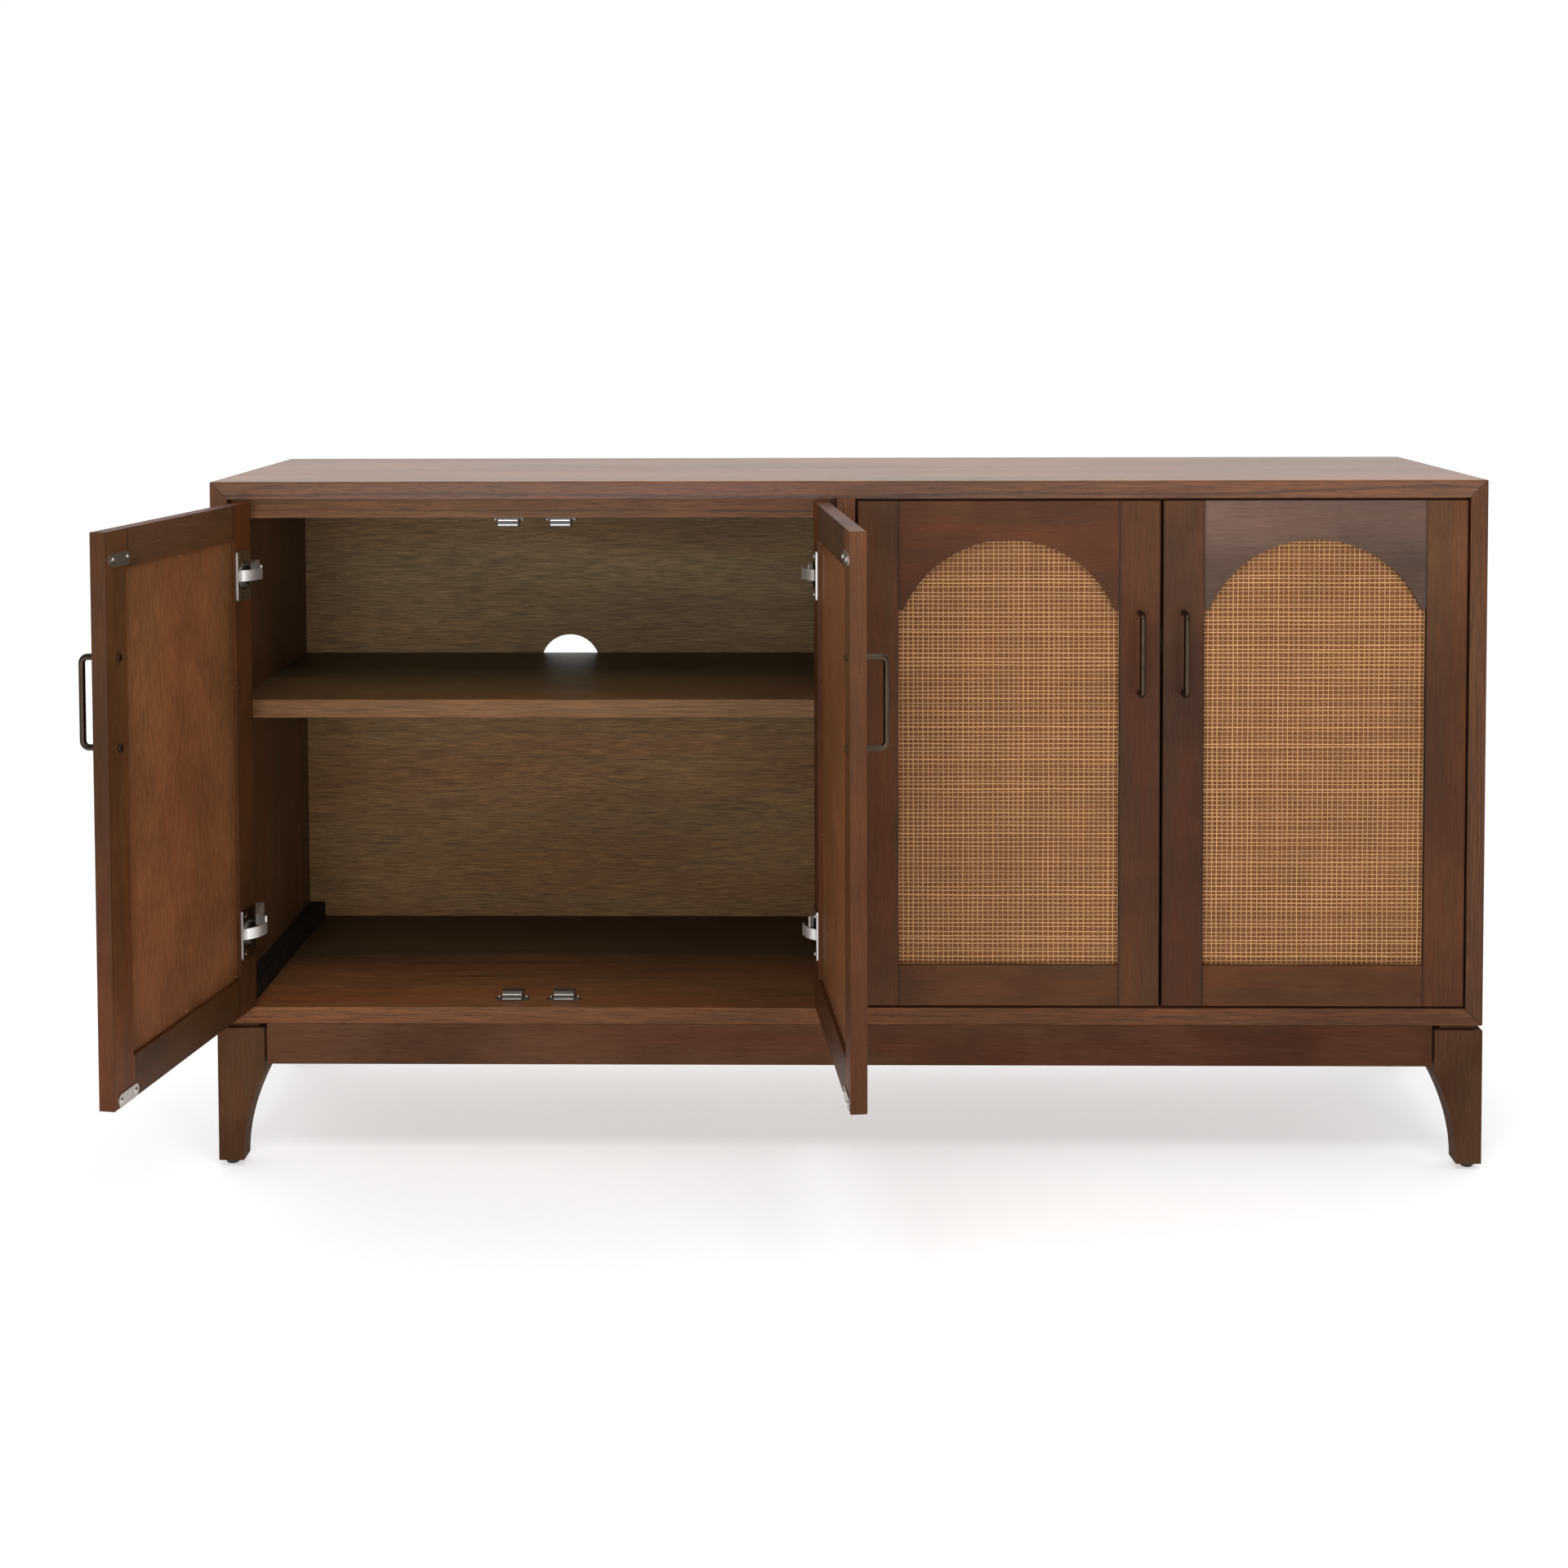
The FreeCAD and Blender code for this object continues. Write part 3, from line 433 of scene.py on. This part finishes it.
for side, seed in (("left", 4.6), ("right", 6.5)):
    dress(f"{side}_shelf", wood(
        f"{side}_shelf_wood", X, *SHELF, seed=seed, figure=3.0, line=0.3, inside=SHELF_PAINTED_SHADE))
# The back panel's fade is painted light: it is paler and greyer above the shelf than below.
dress("back_panel", wood(
    "back_wood", X, *PLY, seed=1.2, figure=5.0, line=0.2, fibre=0.62, pore=0.25, rough=0.6,
    level=0.2, bump=0.4 * MM, thread=(30.0, 760.0),
    fades=((Z, SHELF_Z - 0.1, SHELF_Z, (1.02, 1.2, 1.4)),),
    seen=(Y, BACK_Y + BACK_SKIN, -1.0), rear=(srgb(118, 84, 54), 0.6)))
dress("floor_cleats", wood("cleat_wood", Y, *CLEAT, seed=2.2, rough=0.6))
dress("front_apron", wood(
    "front_apron_wood", X, *scaled(BASE, 1.12, 1.2, 1.38), seed=3.3, figure=5.0,
    fades=((*BAYS, (0.8, 0.77, 0.78)),), **BASE_COAT))
dress("rear_apron", wood("rear_apron_wood", X, *BASE, seed=8.3, figure=5.0, **BASE_COAT))
dress("side_aprons", wood("side_apron_wood", Y, *BASE, seed=6.1, split=(X, MID_X), **BASE_COAT))
for step, corner in enumerate(("front_left", "front_right", "rear_left", "rear_right")):
    tone = (0.9, 1.0, 1.1) if corner == "front_right" else (1.05, 1.25, 1.35)
    dress(corner + "_leg", wood(
        corner + "_leg_wood", Z, *scaled(BASE, *tone), seed=1.9 + 1.3 * step, figure=4.0,
        **BASE_COAT))

FLANGE_STEEL = (0.4, 0.38, 0.35, 1.0)
nickel = metal("nickel_finish", (0.68, 0.65, 0.6, 1.0), 0.16)
screw_steel = metal("screw_finish", (0.95, 0.92, 0.88, 1.0), 0.44)
strike_steel = metal("strike_finish", (0.56, 0.54, 0.5, 1.0), 0.3)
bronze = metal("bronze_finish", (0.066, 0.047, 0.031, 1.0), 0.32, spread=0.06, stain=0.5)
brass = metal("brad_finish", (0.8, 0.66, 0.45, 1.0), 0.4, spread=0.08, stain=0.3)
for node in ("shelf_pins", "case_screws", "hinge_plates"):
    dress(node, nickel)
dress("catch_plates", metal("plate_finish", (0.78, 0.75, 0.7, 1.0), 0.4))
dress("hinge_arms", metal("satin_finish", SATIN, 0.48))
dress("magnetic_catches", plastic("catch_finish", srgb(60, 51, 46), 0.35))
dress("foot_glides", plastic("glide_finish", srgb(30, 29, 29), 0.45))


# --- the doors' finishes --------------------------------------------------------------------

STILE_TONES = {1: (0.82, 1.2), 2: (1.12, 0.72), 3: (0.95, 0.74), 4: (0.52, 0.76)}
# Painted sheen on the stiles: paler and greyer towards their top, strongest on the second and
# last doors.
STILE_PAINTED_SHEEN = {1: (1.0, 1.0, 1.0), 2: (1.6, 1.7, 1.85), 3: (1.0, 1.05, 1.12), 4: (1.6, 1.8, 2.1)}
ACROSS, UP = (1.0, 0.0, 0.0), (0.0, 0.0, 1.0)

for number in DOORS:
    name = f"door_{number}_"
    low, high = corners(name + "stiles", number)
    board_low, board_high = corners(name + "back_panel", number)
    seams = [(ACROSS, x, 1.0 * MM, 0.85) for x in (low.x + STILE, high.x - STILE)]
    seams += [(ACROSS, x, 5.0 * MM, 0.2) for x in (low.x + STILE, high.x - STILE)]
    seams += [(ACROSS, x, 4.0 * MM, 0.35) for x in (low.x, high.x)]
    # Round each board: a broad dark glaze along its sides and bottom, and narrow painted shadow
    # lines at its edges, where the frame stands in front of it.
    rim = [(ACROSS, x, 30.0 * MM, 0.3) for x in (board_low.x, board_high.x)]
    rim += [(UP, board_low.z, 30.0 * MM, 0.3)]
    rim += [(UP, z, 1.6 * MM, 0.6) for z in (board_low.z, board_high.z)]
    rim += [(ACROSS, x, 1.2 * MM, 0.5) for x in (board_low.x, board_high.x)]

    # The top rail of the last door is greyer, a painted sheen, and all of them are paler along
    # the top, a painted sheen too.
    rail = scaled(PAINTED_SHEEN_RAIL, 0.45, 0.5, 0.58) if number == 4 else scaled(DOOR, 0.78, 0.8, 0.86)
    rail_painted_sheen = (1.9, 1.86, 1.97) if number == 4 else (1.45, 1.23, 1.14)
    inner = high.y - 1.0 * MM
    seed = 2.9 * number
    dress(name + "stiles", wood(
        name + "stile_wood", Z, *DOOR, number=number, seed=seed, figure=4.0, lines=seams,
        split=(X, (low.x + high.x) / 2), tones=STILE_TONES[number],
        fades=((Z, 0.58, 0.74, STILE_PAINTED_SHEEN[number]),),
        inner_face=(inner, (0.92, 0.92, 0.9)), **MEMBER))
    dress(name + "top_rail", wood(
        name + "top_rail_wood", X, *rail, number=number, seed=seed + 0.8, figure=4.0,
        lines=seams, fades=((Z, high.z - 0.085, high.z - 0.02, rail_painted_sheen),),
        inner_face=(inner, (0.62, 0.98, 1.38)), **MEMBER))
    dress(name + "bottom_rail", wood(
        name + "bottom_rail_wood", X, *scaled(DOOR, 0.83, 0.87, 0.8), number=number,
        seed=seed + 1.6, figure=5.0, lines=seams,
        inner_face=(inner, (0.72, 0.76, 0.63)), **MEMBER))
    dress(name + "back_panel", wood(
        name + "board_wood", Z, *BOARD, number=number, seed=seed + 2.3, figure=2.0,
        line=0.05, fibre=0.3, rough=0.5, thread=(60.0, 500.0), stain=(9.0, 9.0, 0.84, 1.1),
        lines=rim))
    dress(name + "pull", bronze)
    dress(name + "screws", nickel)
    dress(name + "strikes", strike_steel)
    cup_low, cup_high = corners(name + "hinge_cups", number)
    # The edge away from the hinge gets the painted highlight.
    painted_highlight_edge = cup_high.x if cup_low.x + cup_high.x < low.x + high.x else cup_low.x
    dress(name + "hinge_cups", metal(
        name + "hinge_finish", FLANGE_STEEL, 0.12, number=number, painted_highlight_edge=painted_highlight_edge,
        satin_from=high.y + FLANGE_THICK + 0.5 * MM))


# --- pieces that are added to the CAD -------------------------------------------------------


def mesh_of(name, points, faces, *materials):
    mesh = bpy.data.meshes.new(name)
    mesh.from_pydata(points, [], faces)
    for material in materials:
        mesh.materials.append(material)
    return mesh


def mesh_from(work, name, material):
    """A mesh from closed shapes built in a bmesh, which is freed."""
    bmesh.ops.recalc_face_normals(work, faces=work.faces)
    mesh = bpy.data.meshes.new(name)
    work.to_mesh(mesh)
    work.free()
    mesh.materials.append(material)
    return mesh


def add_piece(mesh, body, number=None):
    """Put a mesh on a CAD body. With a door's number it is built in closed coordinates."""
    piece = bpy.data.objects.new(mesh.name, mesh)
    bpy.context.scene.collection.objects.link(piece)
    if number is not None:
        piece.matrix_world = shut_matrix(number).inverted()
    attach(piece, body)
    return piece


def circle(size, count):
    """Points round a circle, as (u, v)."""
    turns = [step * 2 * math.pi / count for step in range(count)]
    return [(size * math.cos(turn), size * math.sin(turn)) for turn in turns]


# --- woven cane -----------------------------------------------------------------------------

WARP_PITCH = 6.0 * MM    # between upright strands
WEFT_PITCH = 4.95 * MM   # between level strands
MARGIN = 1.2 * MM        # of the sheet, kept free of strands
STRAND_END = 0.6 * MM    # from the sheet's edge to the end of a strand
STRAND_HALF = 0.31 * MM  # half a strand's thickness
STRAND_LIFT = 0.42 * MM  # how far a strand goes in front of and behind the middle
STRAND_Y = 0.76 * MM     # from the sheet's front to the middle of the weave
SWAY_LENGTH = 0.19       # one wave of a strand that isn't quite straight
CREST, HOLLOW = 1.0 * MM, 1.58 * MM  # depths of the filler, open and under a strand
# A strand's outline, flat at the back: (share of its half width, share of STRAND_HALF).
SECTION = ((-1.0, 0.7), (-0.8, -0.45), (0.0, -1.0), (0.8, -0.45), (1.0, 0.7))


def strand_material(name, colour, across, start, pitch):
    """Pale split cane: each strand has its own brightness, read from its place in the weave."""
    s = Shader(name)
    at = s.place()
    parts = s.node("SeparateXYZ", at).outputs
    index = s.math("FLOOR", s.math("DIVIDE", s.math("SUBTRACT", parts[across], start), pitch))
    own = s.node("TexWhiteNoise", noise_dimensions="1D")
    s.put(index, own.inputs["W"])
    long_way = s.scale(at, *((900.0, 900.0, 60.0) if across == X else (60.0, 900.0, 900.0)))
    thread = s.noise(long_way, 3.0, 0.6)
    cloud = s.noise(s.scale(at, 16.0, 16.0, 16.0), 3.0, 0.6)
    tone = s.math("ADD", s.math("MULTIPLY", own.outputs[0], 0.55), s.math("MULTIPLY", cloud, 0.9))
    dull = times(colour, 0.62)
    base = s.mix(s.span(tone, 0.35, 1.05), dull, colour)
    base = s.mix(s.span(thread, 0.3, 0.75, 0.0, 0.45), base, dull)
    s.set(Base_Color=base, Roughness=s.span(thread, 0.3, 0.7, 0.34, 0.5))
    s.bump(thread, 0.08 * MM, 0.4)
    return s.mat


def filler_material(name):
    """The browner cane strips behind, with fine threads and dark patches of painted shade for the
    hollows beside the strands.
    """
    s = Shader(name)
    at = s.place()
    fine = s.noise(s.scale(at, 620.0, 620.0, 240.0), 4.0, 0.7)
    weave = s.noise(s.scale(at, 260.0, 260.0, 330.0), 2.0, 0.6)
    cloud = s.noise(s.scale(at, 14.0, 14.0, 14.0), 3.0, 0.6)
    base = s.mix(s.span(cloud, 0.3, 0.7), srgb(116, 68, 33), srgb(127, 76, 39))
    base = s.mix(s.span(fine, 0.35, 0.8, 0.0, 0.6), base, srgb(84, 48, 23))
    # Painted shade: dark patches spread by noise, standing for the shade in the hollows beside
    # the strands.
    base = s.mix(s.span(weave, 0.5, 0.75, 0.0, 0.5), base, srgb(66, 36, 17))
    s.set(Base_Color=base, Roughness=0.6, Specular_IOR_Level=0.25)
    s.bump(fine, 0.25 * MM, 0.6)
    return s.mat


def tubes(paths, halves):
    """Closed tubes with a flat back along paths of equal length: (points, faces)."""
    points, faces = [], []
    count = len(SECTION)
    for path, (half_width, along_axis) in zip(paths, halves):
        start = len(points)
        upright = along_axis == Z
        for x, y, z in path:
            for across, through in SECTION:
                offset = across * half_width
                depth = y + through * STRAND_HALF
                points.append((x + offset, depth, z) if upright else (x, depth, z + offset))
        rings = len(path)
        for ring in range(rings - 1):
            for corner in range(count):
                a = start + ring * count + corner
                b = start + ring * count + (corner + 1) % count
                quad = (a, b, b + count, a + count)
                faces.append(quad if upright else quad[::-1])
        first = tuple(start + corner for corner in range(count))
        last = tuple(start + (rings - 1) * count + corner for corner in range(count))
        faces.append(first[::-1] if upright else first)
        faces.append(last if upright else last[::-1])
    return points, faces


def weave_lines(low, high, rng):
    """Places of the upright and level strands of one sheet, in closed coordinates."""
    columns = int((high.x - low.x - 2 * MARGIN) / WARP_PITCH)
    rows = int((high.z - low.z - 2 * MARGIN) / WEFT_PITCH)
    left = (low.x + high.x - columns * WARP_PITCH) / 2
    base = (low.z + high.z - rows * WEFT_PITCH) / 2
    xs = [left + (i + 0.5) * WARP_PITCH + rng.uniform(-0.35, 0.35) * MM for i in range(columns)]
    zs = [base + (j + 0.5) * WEFT_PITCH + rng.uniform(-0.75, 0.75) * MM for j in range(rows)]
    return left, base, xs, zs


def make_strands(number, low, high, rng):
    """The strands of one door's cane: (piece, places of the upright and of the level ones)."""
    left, base, xs, zs = weave_lines(low, high, rng)
    middle = low.y + STRAND_Y

    def sway(value, phase, size):
        return size * math.sin(value * 2 * math.pi / SWAY_LENGTH + phase)

    paths, halves = [], []
    for i, x in enumerate(xs):
        phase = rng.uniform(0, 6.28)
        path = [(x, middle, low.z + STRAND_END)]
        for j, z in enumerate(zs):
            side = -1 if (i + j) % 2 == 0 else 1
            aside = sway(z, phase, 0.22 * MM)
            path.append((x + aside, middle + side * STRAND_LIFT, z))
            after = zs[j + 1] if j + 1 < len(zs) else high.z - STRAND_END
            path.append((x + aside, middle, (z + after) / 2))
        path.append((x, middle, high.z - STRAND_END))
        paths.append(path)
        halves.append((rng.uniform(0.52, 0.76) * MM, Z))
    for j, z in enumerate(zs):
        phase = rng.uniform(0, 6.28)
        path = [(low.x + STRAND_END, middle, z)]
        for i, x in enumerate(xs):
            side = 1 if (i + j) % 2 == 0 else -1
            aside = sway(x, phase, 0.25 * MM)
            path.append((x, middle + side * STRAND_LIFT, z + aside))
            after = xs[i + 1] if i + 1 < len(xs) else high.x - STRAND_END
            path.append(((x + after) / 2, middle, z + aside))
        path.append((high.x - STRAND_END, middle, z))
        paths.append(path)
        halves.append((rng.uniform(0.52, 0.78) * MM, X))

    warp = strand_material(f"door_{number}_warp", srgb(208, 157, 101), X, left, WARP_PITCH)
    weft = strand_material(f"door_{number}_weft", srgb(222, 168, 108), Z, base, WEFT_PITCH)
    points, faces = tubes(paths, halves)
    mesh = mesh_of(f"door_{number}_cane_strands", points, faces, warp, weft)
    faces_each = (len(paths[0]) - 1) * len(SECTION) + 2
    marks = np.ones(len(faces), np.int32)
    marks[: len(xs) * faces_each] = 0
    mesh.polygons.foreach_set("material_index", marks)
    mesh.polygons.foreach_set("use_smooth", np.ones(len(faces), bool))
    mesh.update()
    return add_piece(mesh, f"door_{number}", number), xs, zs


def cell_lines(places, end, last, shares):
    """Each place and the two ends of the flat part of the cell after it, with both edges."""
    edges = zip(places, places[1:] + [last])
    inner = [v for at, after in edges for v in (at, *(at + (after - at) * s for s in shares))]
    return sorted([end[0]] + inner + [end[1]])


def make_filler(number, low, high, xs, zs):
    """The strips behind: raised in each cell and sunk under the strands."""
    across = cell_lines(xs, (low.x, high.x), high.x - 3 * MM, (0.3, 0.7))
    up = cell_lines(zs, (low.z, high.z), high.z - 2 * MM, (0.35, 0.65))
    sunk_x, sunk_z = set(xs) | {low.x, high.x}, set(zs) | {low.z, high.z}
    rows, columns = len(up), len(across)
    points = [(x, low.y + (HOLLOW if x in sunk_x or z in sunk_z else CREST), z)
              for z in up for x in across]
    grid = [r * columns + c for r in range(rows - 1) for c in range(columns - 1)]
    faces = [(at, at + 1, at + columns + 1, at + columns) for at in grid]
    rim = ([c for c in range(columns)] + [r * columns + columns - 1 for r in range(1, rows)]
           + [(rows - 1) * columns + c for c in range(columns - 2, -1, -1)]
           + [r * columns for r in range(rows - 2, 0, -1)])
    first, count = len(points), len(rim)
    back = high.y - 0.05 * MM
    points += [(points[i][0], back, points[i][2]) for i in rim]
    faces += [(rim[(k + 1) % count], rim[k], first + k, first + (k + 1) % count)
              for k in range(count)]
    faces.append(tuple(first + k for k in range(count - 1, -1, -1)))
    filler = filler_material(f"door_{number}_filler")
    mesh = mesh_of(f"door_{number}_cane_filler", points, faces, filler)
    mesh.update()
    add_piece(mesh, f"door_{number}", number)


def make_cane(number):
    low, high = corners(f"door_{number}_cane", number)
    strands, xs, zs = make_strands(number, low, high, random.Random(100 + number))
    make_filler(number, low, high, xs, zs)
    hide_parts(f"door_{number}_cane")


# --- brads and screw heads ------------------------------------------------------------------

BRAD_INSET = 4.0 * MM
# Rings of a brad's head, and of a pan head as shares of its radius: (size, height).
BRAD_RINGS = ((1.15 * MM, -0.1 * MM), (1.15 * MM, 0.14 * MM), (0.7 * MM, 0.3 * MM))
PAN_RINGS = ((1.0, -0.1 * MM), (1.0, 0.25 * MM), (0.82, 0.62 * MM))
PAN_TOP, RECESS_BOTTOM = 0.8 * MM, 0.15 * MM
RECESS_HALF, RECESS_REACH = 0.14, 0.58  # half width and length of an arm of the recess
HEAD_SIDES = 16


def make_brads(number):
    """The small heads that hold the board, a few millimetres inside its edge."""
    low, high = corners(f"door_{number}_back_panel", number)
    left, right = low.x + BRAD_INSET, high.x - BRAD_INSET
    bottom, top = low.z + BRAD_INSET, high.z - BRAD_INSET
    spots = [(x, z) for x in (left, (left + right) / 2, right) for z in (bottom, top)]
    spots += [(x, bottom + (top - bottom) * share)
              for x in (left, right) for share in (0.33, 0.67)]
    work = bmesh.new()
    for x, z in spots:
        loops = [[work.verts.new((x + u, high.y + height, z + v)) for u, v in circle(size, 12)]
                 for size, height in BRAD_RINGS]
        for inner, outer in zip(loops[1:], loops):
            for k in range(12):
                work.faces.new((outer[k], inner[k], inner[(k + 1) % 12], outer[(k + 1) % 12]))
        work.faces.new(loops[-1][::-1])
        work.faces.new(loops[0])
    add_piece(mesh_from(work, f"door_{number}_brads", brass), f"door_{number}", number)


def islands(mesh):
    """The separate solids of a mesh, each as an array of its points."""
    work = bmesh.new()
    work.from_mesh(mesh)
    bmesh.ops.remove_doubles(work, verts=work.verts, dist=1e-6)
    seen, found = set(), []
    for vert in work.verts:
        if vert in seen:
            continue
        seen.add(vert)
        queue, points = [vert], []
        while queue:
            here = queue.pop()
            points.append(here.co[:])
            for edge in here.link_edges:
                other = edge.other_vert(here)
                if other not in seen:
                    seen.add(other)
                    queue.append(other)
        found.append(np.array(points))
    work.free()
    return found


def head_frame(points):
    """Where a screw's head ends: (place, outward direction, radius of the head)."""
    centre = (points.min(0) + points.max(0)) / 2
    axis = np.linalg.svd(points - points.mean(0), full_matrices=False)[2][0]
    along = (points - centre) @ axis
    radius = np.linalg.norm((points - centre) - np.outer(along, axis), axis=1)
    low_end, high_end = along.min(), along.max()
    near_end = 0.4 * MM
    wide_low = radius[along < low_end + near_end].max()
    wide_high = radius[along > high_end - near_end].max()
    if wide_low > wide_high:
        axis, high_end, wide_high = -axis, -low_end, wide_low
    return Vector(centre + axis * high_end), Vector(axis), wide_high


def recess(radius):
    """The outline of a cross recess, with as many points as the head has sides."""
    half, reach = radius * RECESS_HALF, radius * RECESS_REACH
    outline = []
    for quarter in range(HEAD_SIDES // 4):
        c, s = round(math.cos(quarter * math.pi / 2)), round(math.sin(quarter * math.pi / 2))
        for u, v in ((reach, 0.0), (reach, half), (half, half), (half, reach)):
            outline.append((u * c - v * s, u * s + v * c))
    return outline


def make_screw_heads(node, body):
    """Pan heads with a cross recess on a node's screws."""
    work = bmesh.new()
    for points in islands(frame["nodes"][node].data):
        place, out, radius = head_frame(points)
        side = out.orthogonal().normalized()
        other = out.cross(side)
        outlines = [(circle(radius * size, HEAD_SIDES), height) for size, height in PAN_RINGS]
        outlines += [(recess(radius), PAN_TOP), (recess(radius), RECESS_BOTTOM)]
        loops = [[work.verts.new(place + side * u + other * v + out * height) for u, v in outline]
                 for outline, height in outlines]
        for lower, upper in zip(loops, loops[1:]):
            for k in range(HEAD_SIDES):
                after = (k + 1) % HEAD_SIDES
                work.faces.new((lower[k], lower[after], upper[after], upper[k]))
        work.faces.new(loops[-1])
        work.faces.new(loops[0][::-1])
    name = node.replace("screws", "screw_heads")
    add_piece(mesh_from(work, name, screw_steel), body)


make_screw_heads("case_screws", "cabinet")
for number in DOORS:
    make_cane(number)
    make_brads(number)
    make_screw_heads(f"door_{number}_screws", f"door_{number}")


# --- floor, light and camera ----------------------------------------------------------------

FLOOR_HALF = 30.0
FRAME_SIDE = 1920.0      # the square frame that the camera's lens and shift are given in
FOCAL = 2699.5
HORIZON = 500.0
SENSOR = 36.0
CAMERA_AT = (-0.00799, -2.64239, 1.03718)
CAMERA_TURN = (-0.899, -2.592, -0.171)  # yaw, pitch and roll in degrees


def make_floor():
    """A near-white floor that gives off a little light, as a seamless studio ground does."""
    outline = ((-1, -1), (1, -1), (1, 1), (-1, 1))
    s = Shader("floor_paint")
    cloud = s.noise(s.scale(s.place(), 0.8, 0.8, 0.8), 2.0)
    s.set(Base_Color=s.mix(cloud, (0.86, 0.86, 0.86, 1.0), (0.9, 0.9, 0.9, 1.0)), Roughness=0.8,
          Specular_IOR_Level=0.1, Emission_Color=WHITE, Emission_Strength=0.46)
    points = [(x * FLOOR_HALF, y * FLOOR_HALF, 0) for x, y in outline]
    floor = bpy.data.objects.new("floor", mesh_of("floor", points, [(0, 1, 2, 3)], s.mat))
    bpy.context.scene.collection.objects.link(floor)
    floor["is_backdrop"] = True


def area_light(name, at, aim, width, height, power):
    light = bpy.data.lights.new(name, "AREA")
    light.shape = "RECTANGLE"
    light.size, light.size_y = width, height
    light.energy = power
    ob = bpy.data.objects.new(name, light)
    ob.location = at
    ob.rotation_euler = (Vector(aim) - Vector(at)).to_track_quat("-Z", "Y").to_euler()
    bpy.context.scene.collection.objects.link(ob)


def make_world():
    """A bright studio: it lights more from behind than from the front, and looks white."""
    world = bpy.data.worlds.new("studio")
    bpy.context.scene.world = world
    world.use_nodes = True
    tree = world.node_tree
    tree.nodes.clear()
    at = tree.nodes.new("ShaderNodeTexCoord").outputs["Generated"]
    parts = tree.nodes.new("ShaderNodeSeparateXYZ")
    tree.links.new(at, parts.inputs[0])
    ramp = tree.nodes.new("ShaderNodeMapRange")
    tree.links.new(parts.outputs["Y"], ramp.inputs[0])
    ramp.inputs["From Min"].default_value = -0.5
    ramp.inputs["From Max"].default_value = 0.35
    ramp.inputs["To Min"].default_value = 0.15
    ramp.inputs["To Max"].default_value = 1.0
    ground = tree.nodes.new("ShaderNodeBackground")
    seen = tree.nodes.new("ShaderNodeLightPath").outputs["Is Camera Ray"]
    strength = tree.nodes.new("ShaderNodeMath")
    strength.operation = "MAXIMUM"
    tree.links.new(ramp.outputs[0], strength.inputs[0])
    tree.links.new(seen, strength.inputs[1])
    tree.links.new(strength.outputs[0], ground.inputs["Strength"])
    ground.inputs["Color"].default_value = WHITE
    out = tree.nodes.new("ShaderNodeOutputWorld")
    tree.links.new(ground.outputs[0], out.inputs[0])


def make_camera():
    """A camera a little above the top, tilted slightly down, with its frame moved down."""
    data = bpy.data.cameras.new("camera")
    data.sensor_width = SENSOR
    data.lens = FOCAL / FRAME_SIDE * SENSOR
    data.shift_y = (HORIZON - FRAME_SIDE / 2) / FRAME_SIDE
    data.clip_start, data.clip_end = 0.1, 100.0
    camera = bpy.data.objects.new("camera", data)
    yaw, pitch, roll = (math.radians(v) for v in CAMERA_TURN)
    turn = (Matrix.Rotation(-yaw, 4, "Z") @ Matrix.Rotation(math.pi / 2 + pitch, 4, "X")
            @ Matrix.Rotation(roll, 4, "Z"))
    camera.matrix_world = Matrix.Translation(CAMERA_AT) @ turn
    bpy.context.scene.collection.objects.link(camera)
    bpy.context.scene.camera = camera


make_floor()
make_world()
make_camera()
area_light("key", (-0.7, -3.4, 1.0), (0.0, 0.0, 0.5), 1.6, 1.0, 36.0)
area_light("fill", (1.5, -3.0, 1.1), (0.1, 0.0, 0.45), 1.2, 1.0, 16.0)
area_light("overhead", (0.0, -1.5, 2.5), (0.0, -0.1, 0.4), 2.2, 0.7, 22.0)
bpy.context.scene.view_settings.view_transform = "Standard"

low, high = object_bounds()
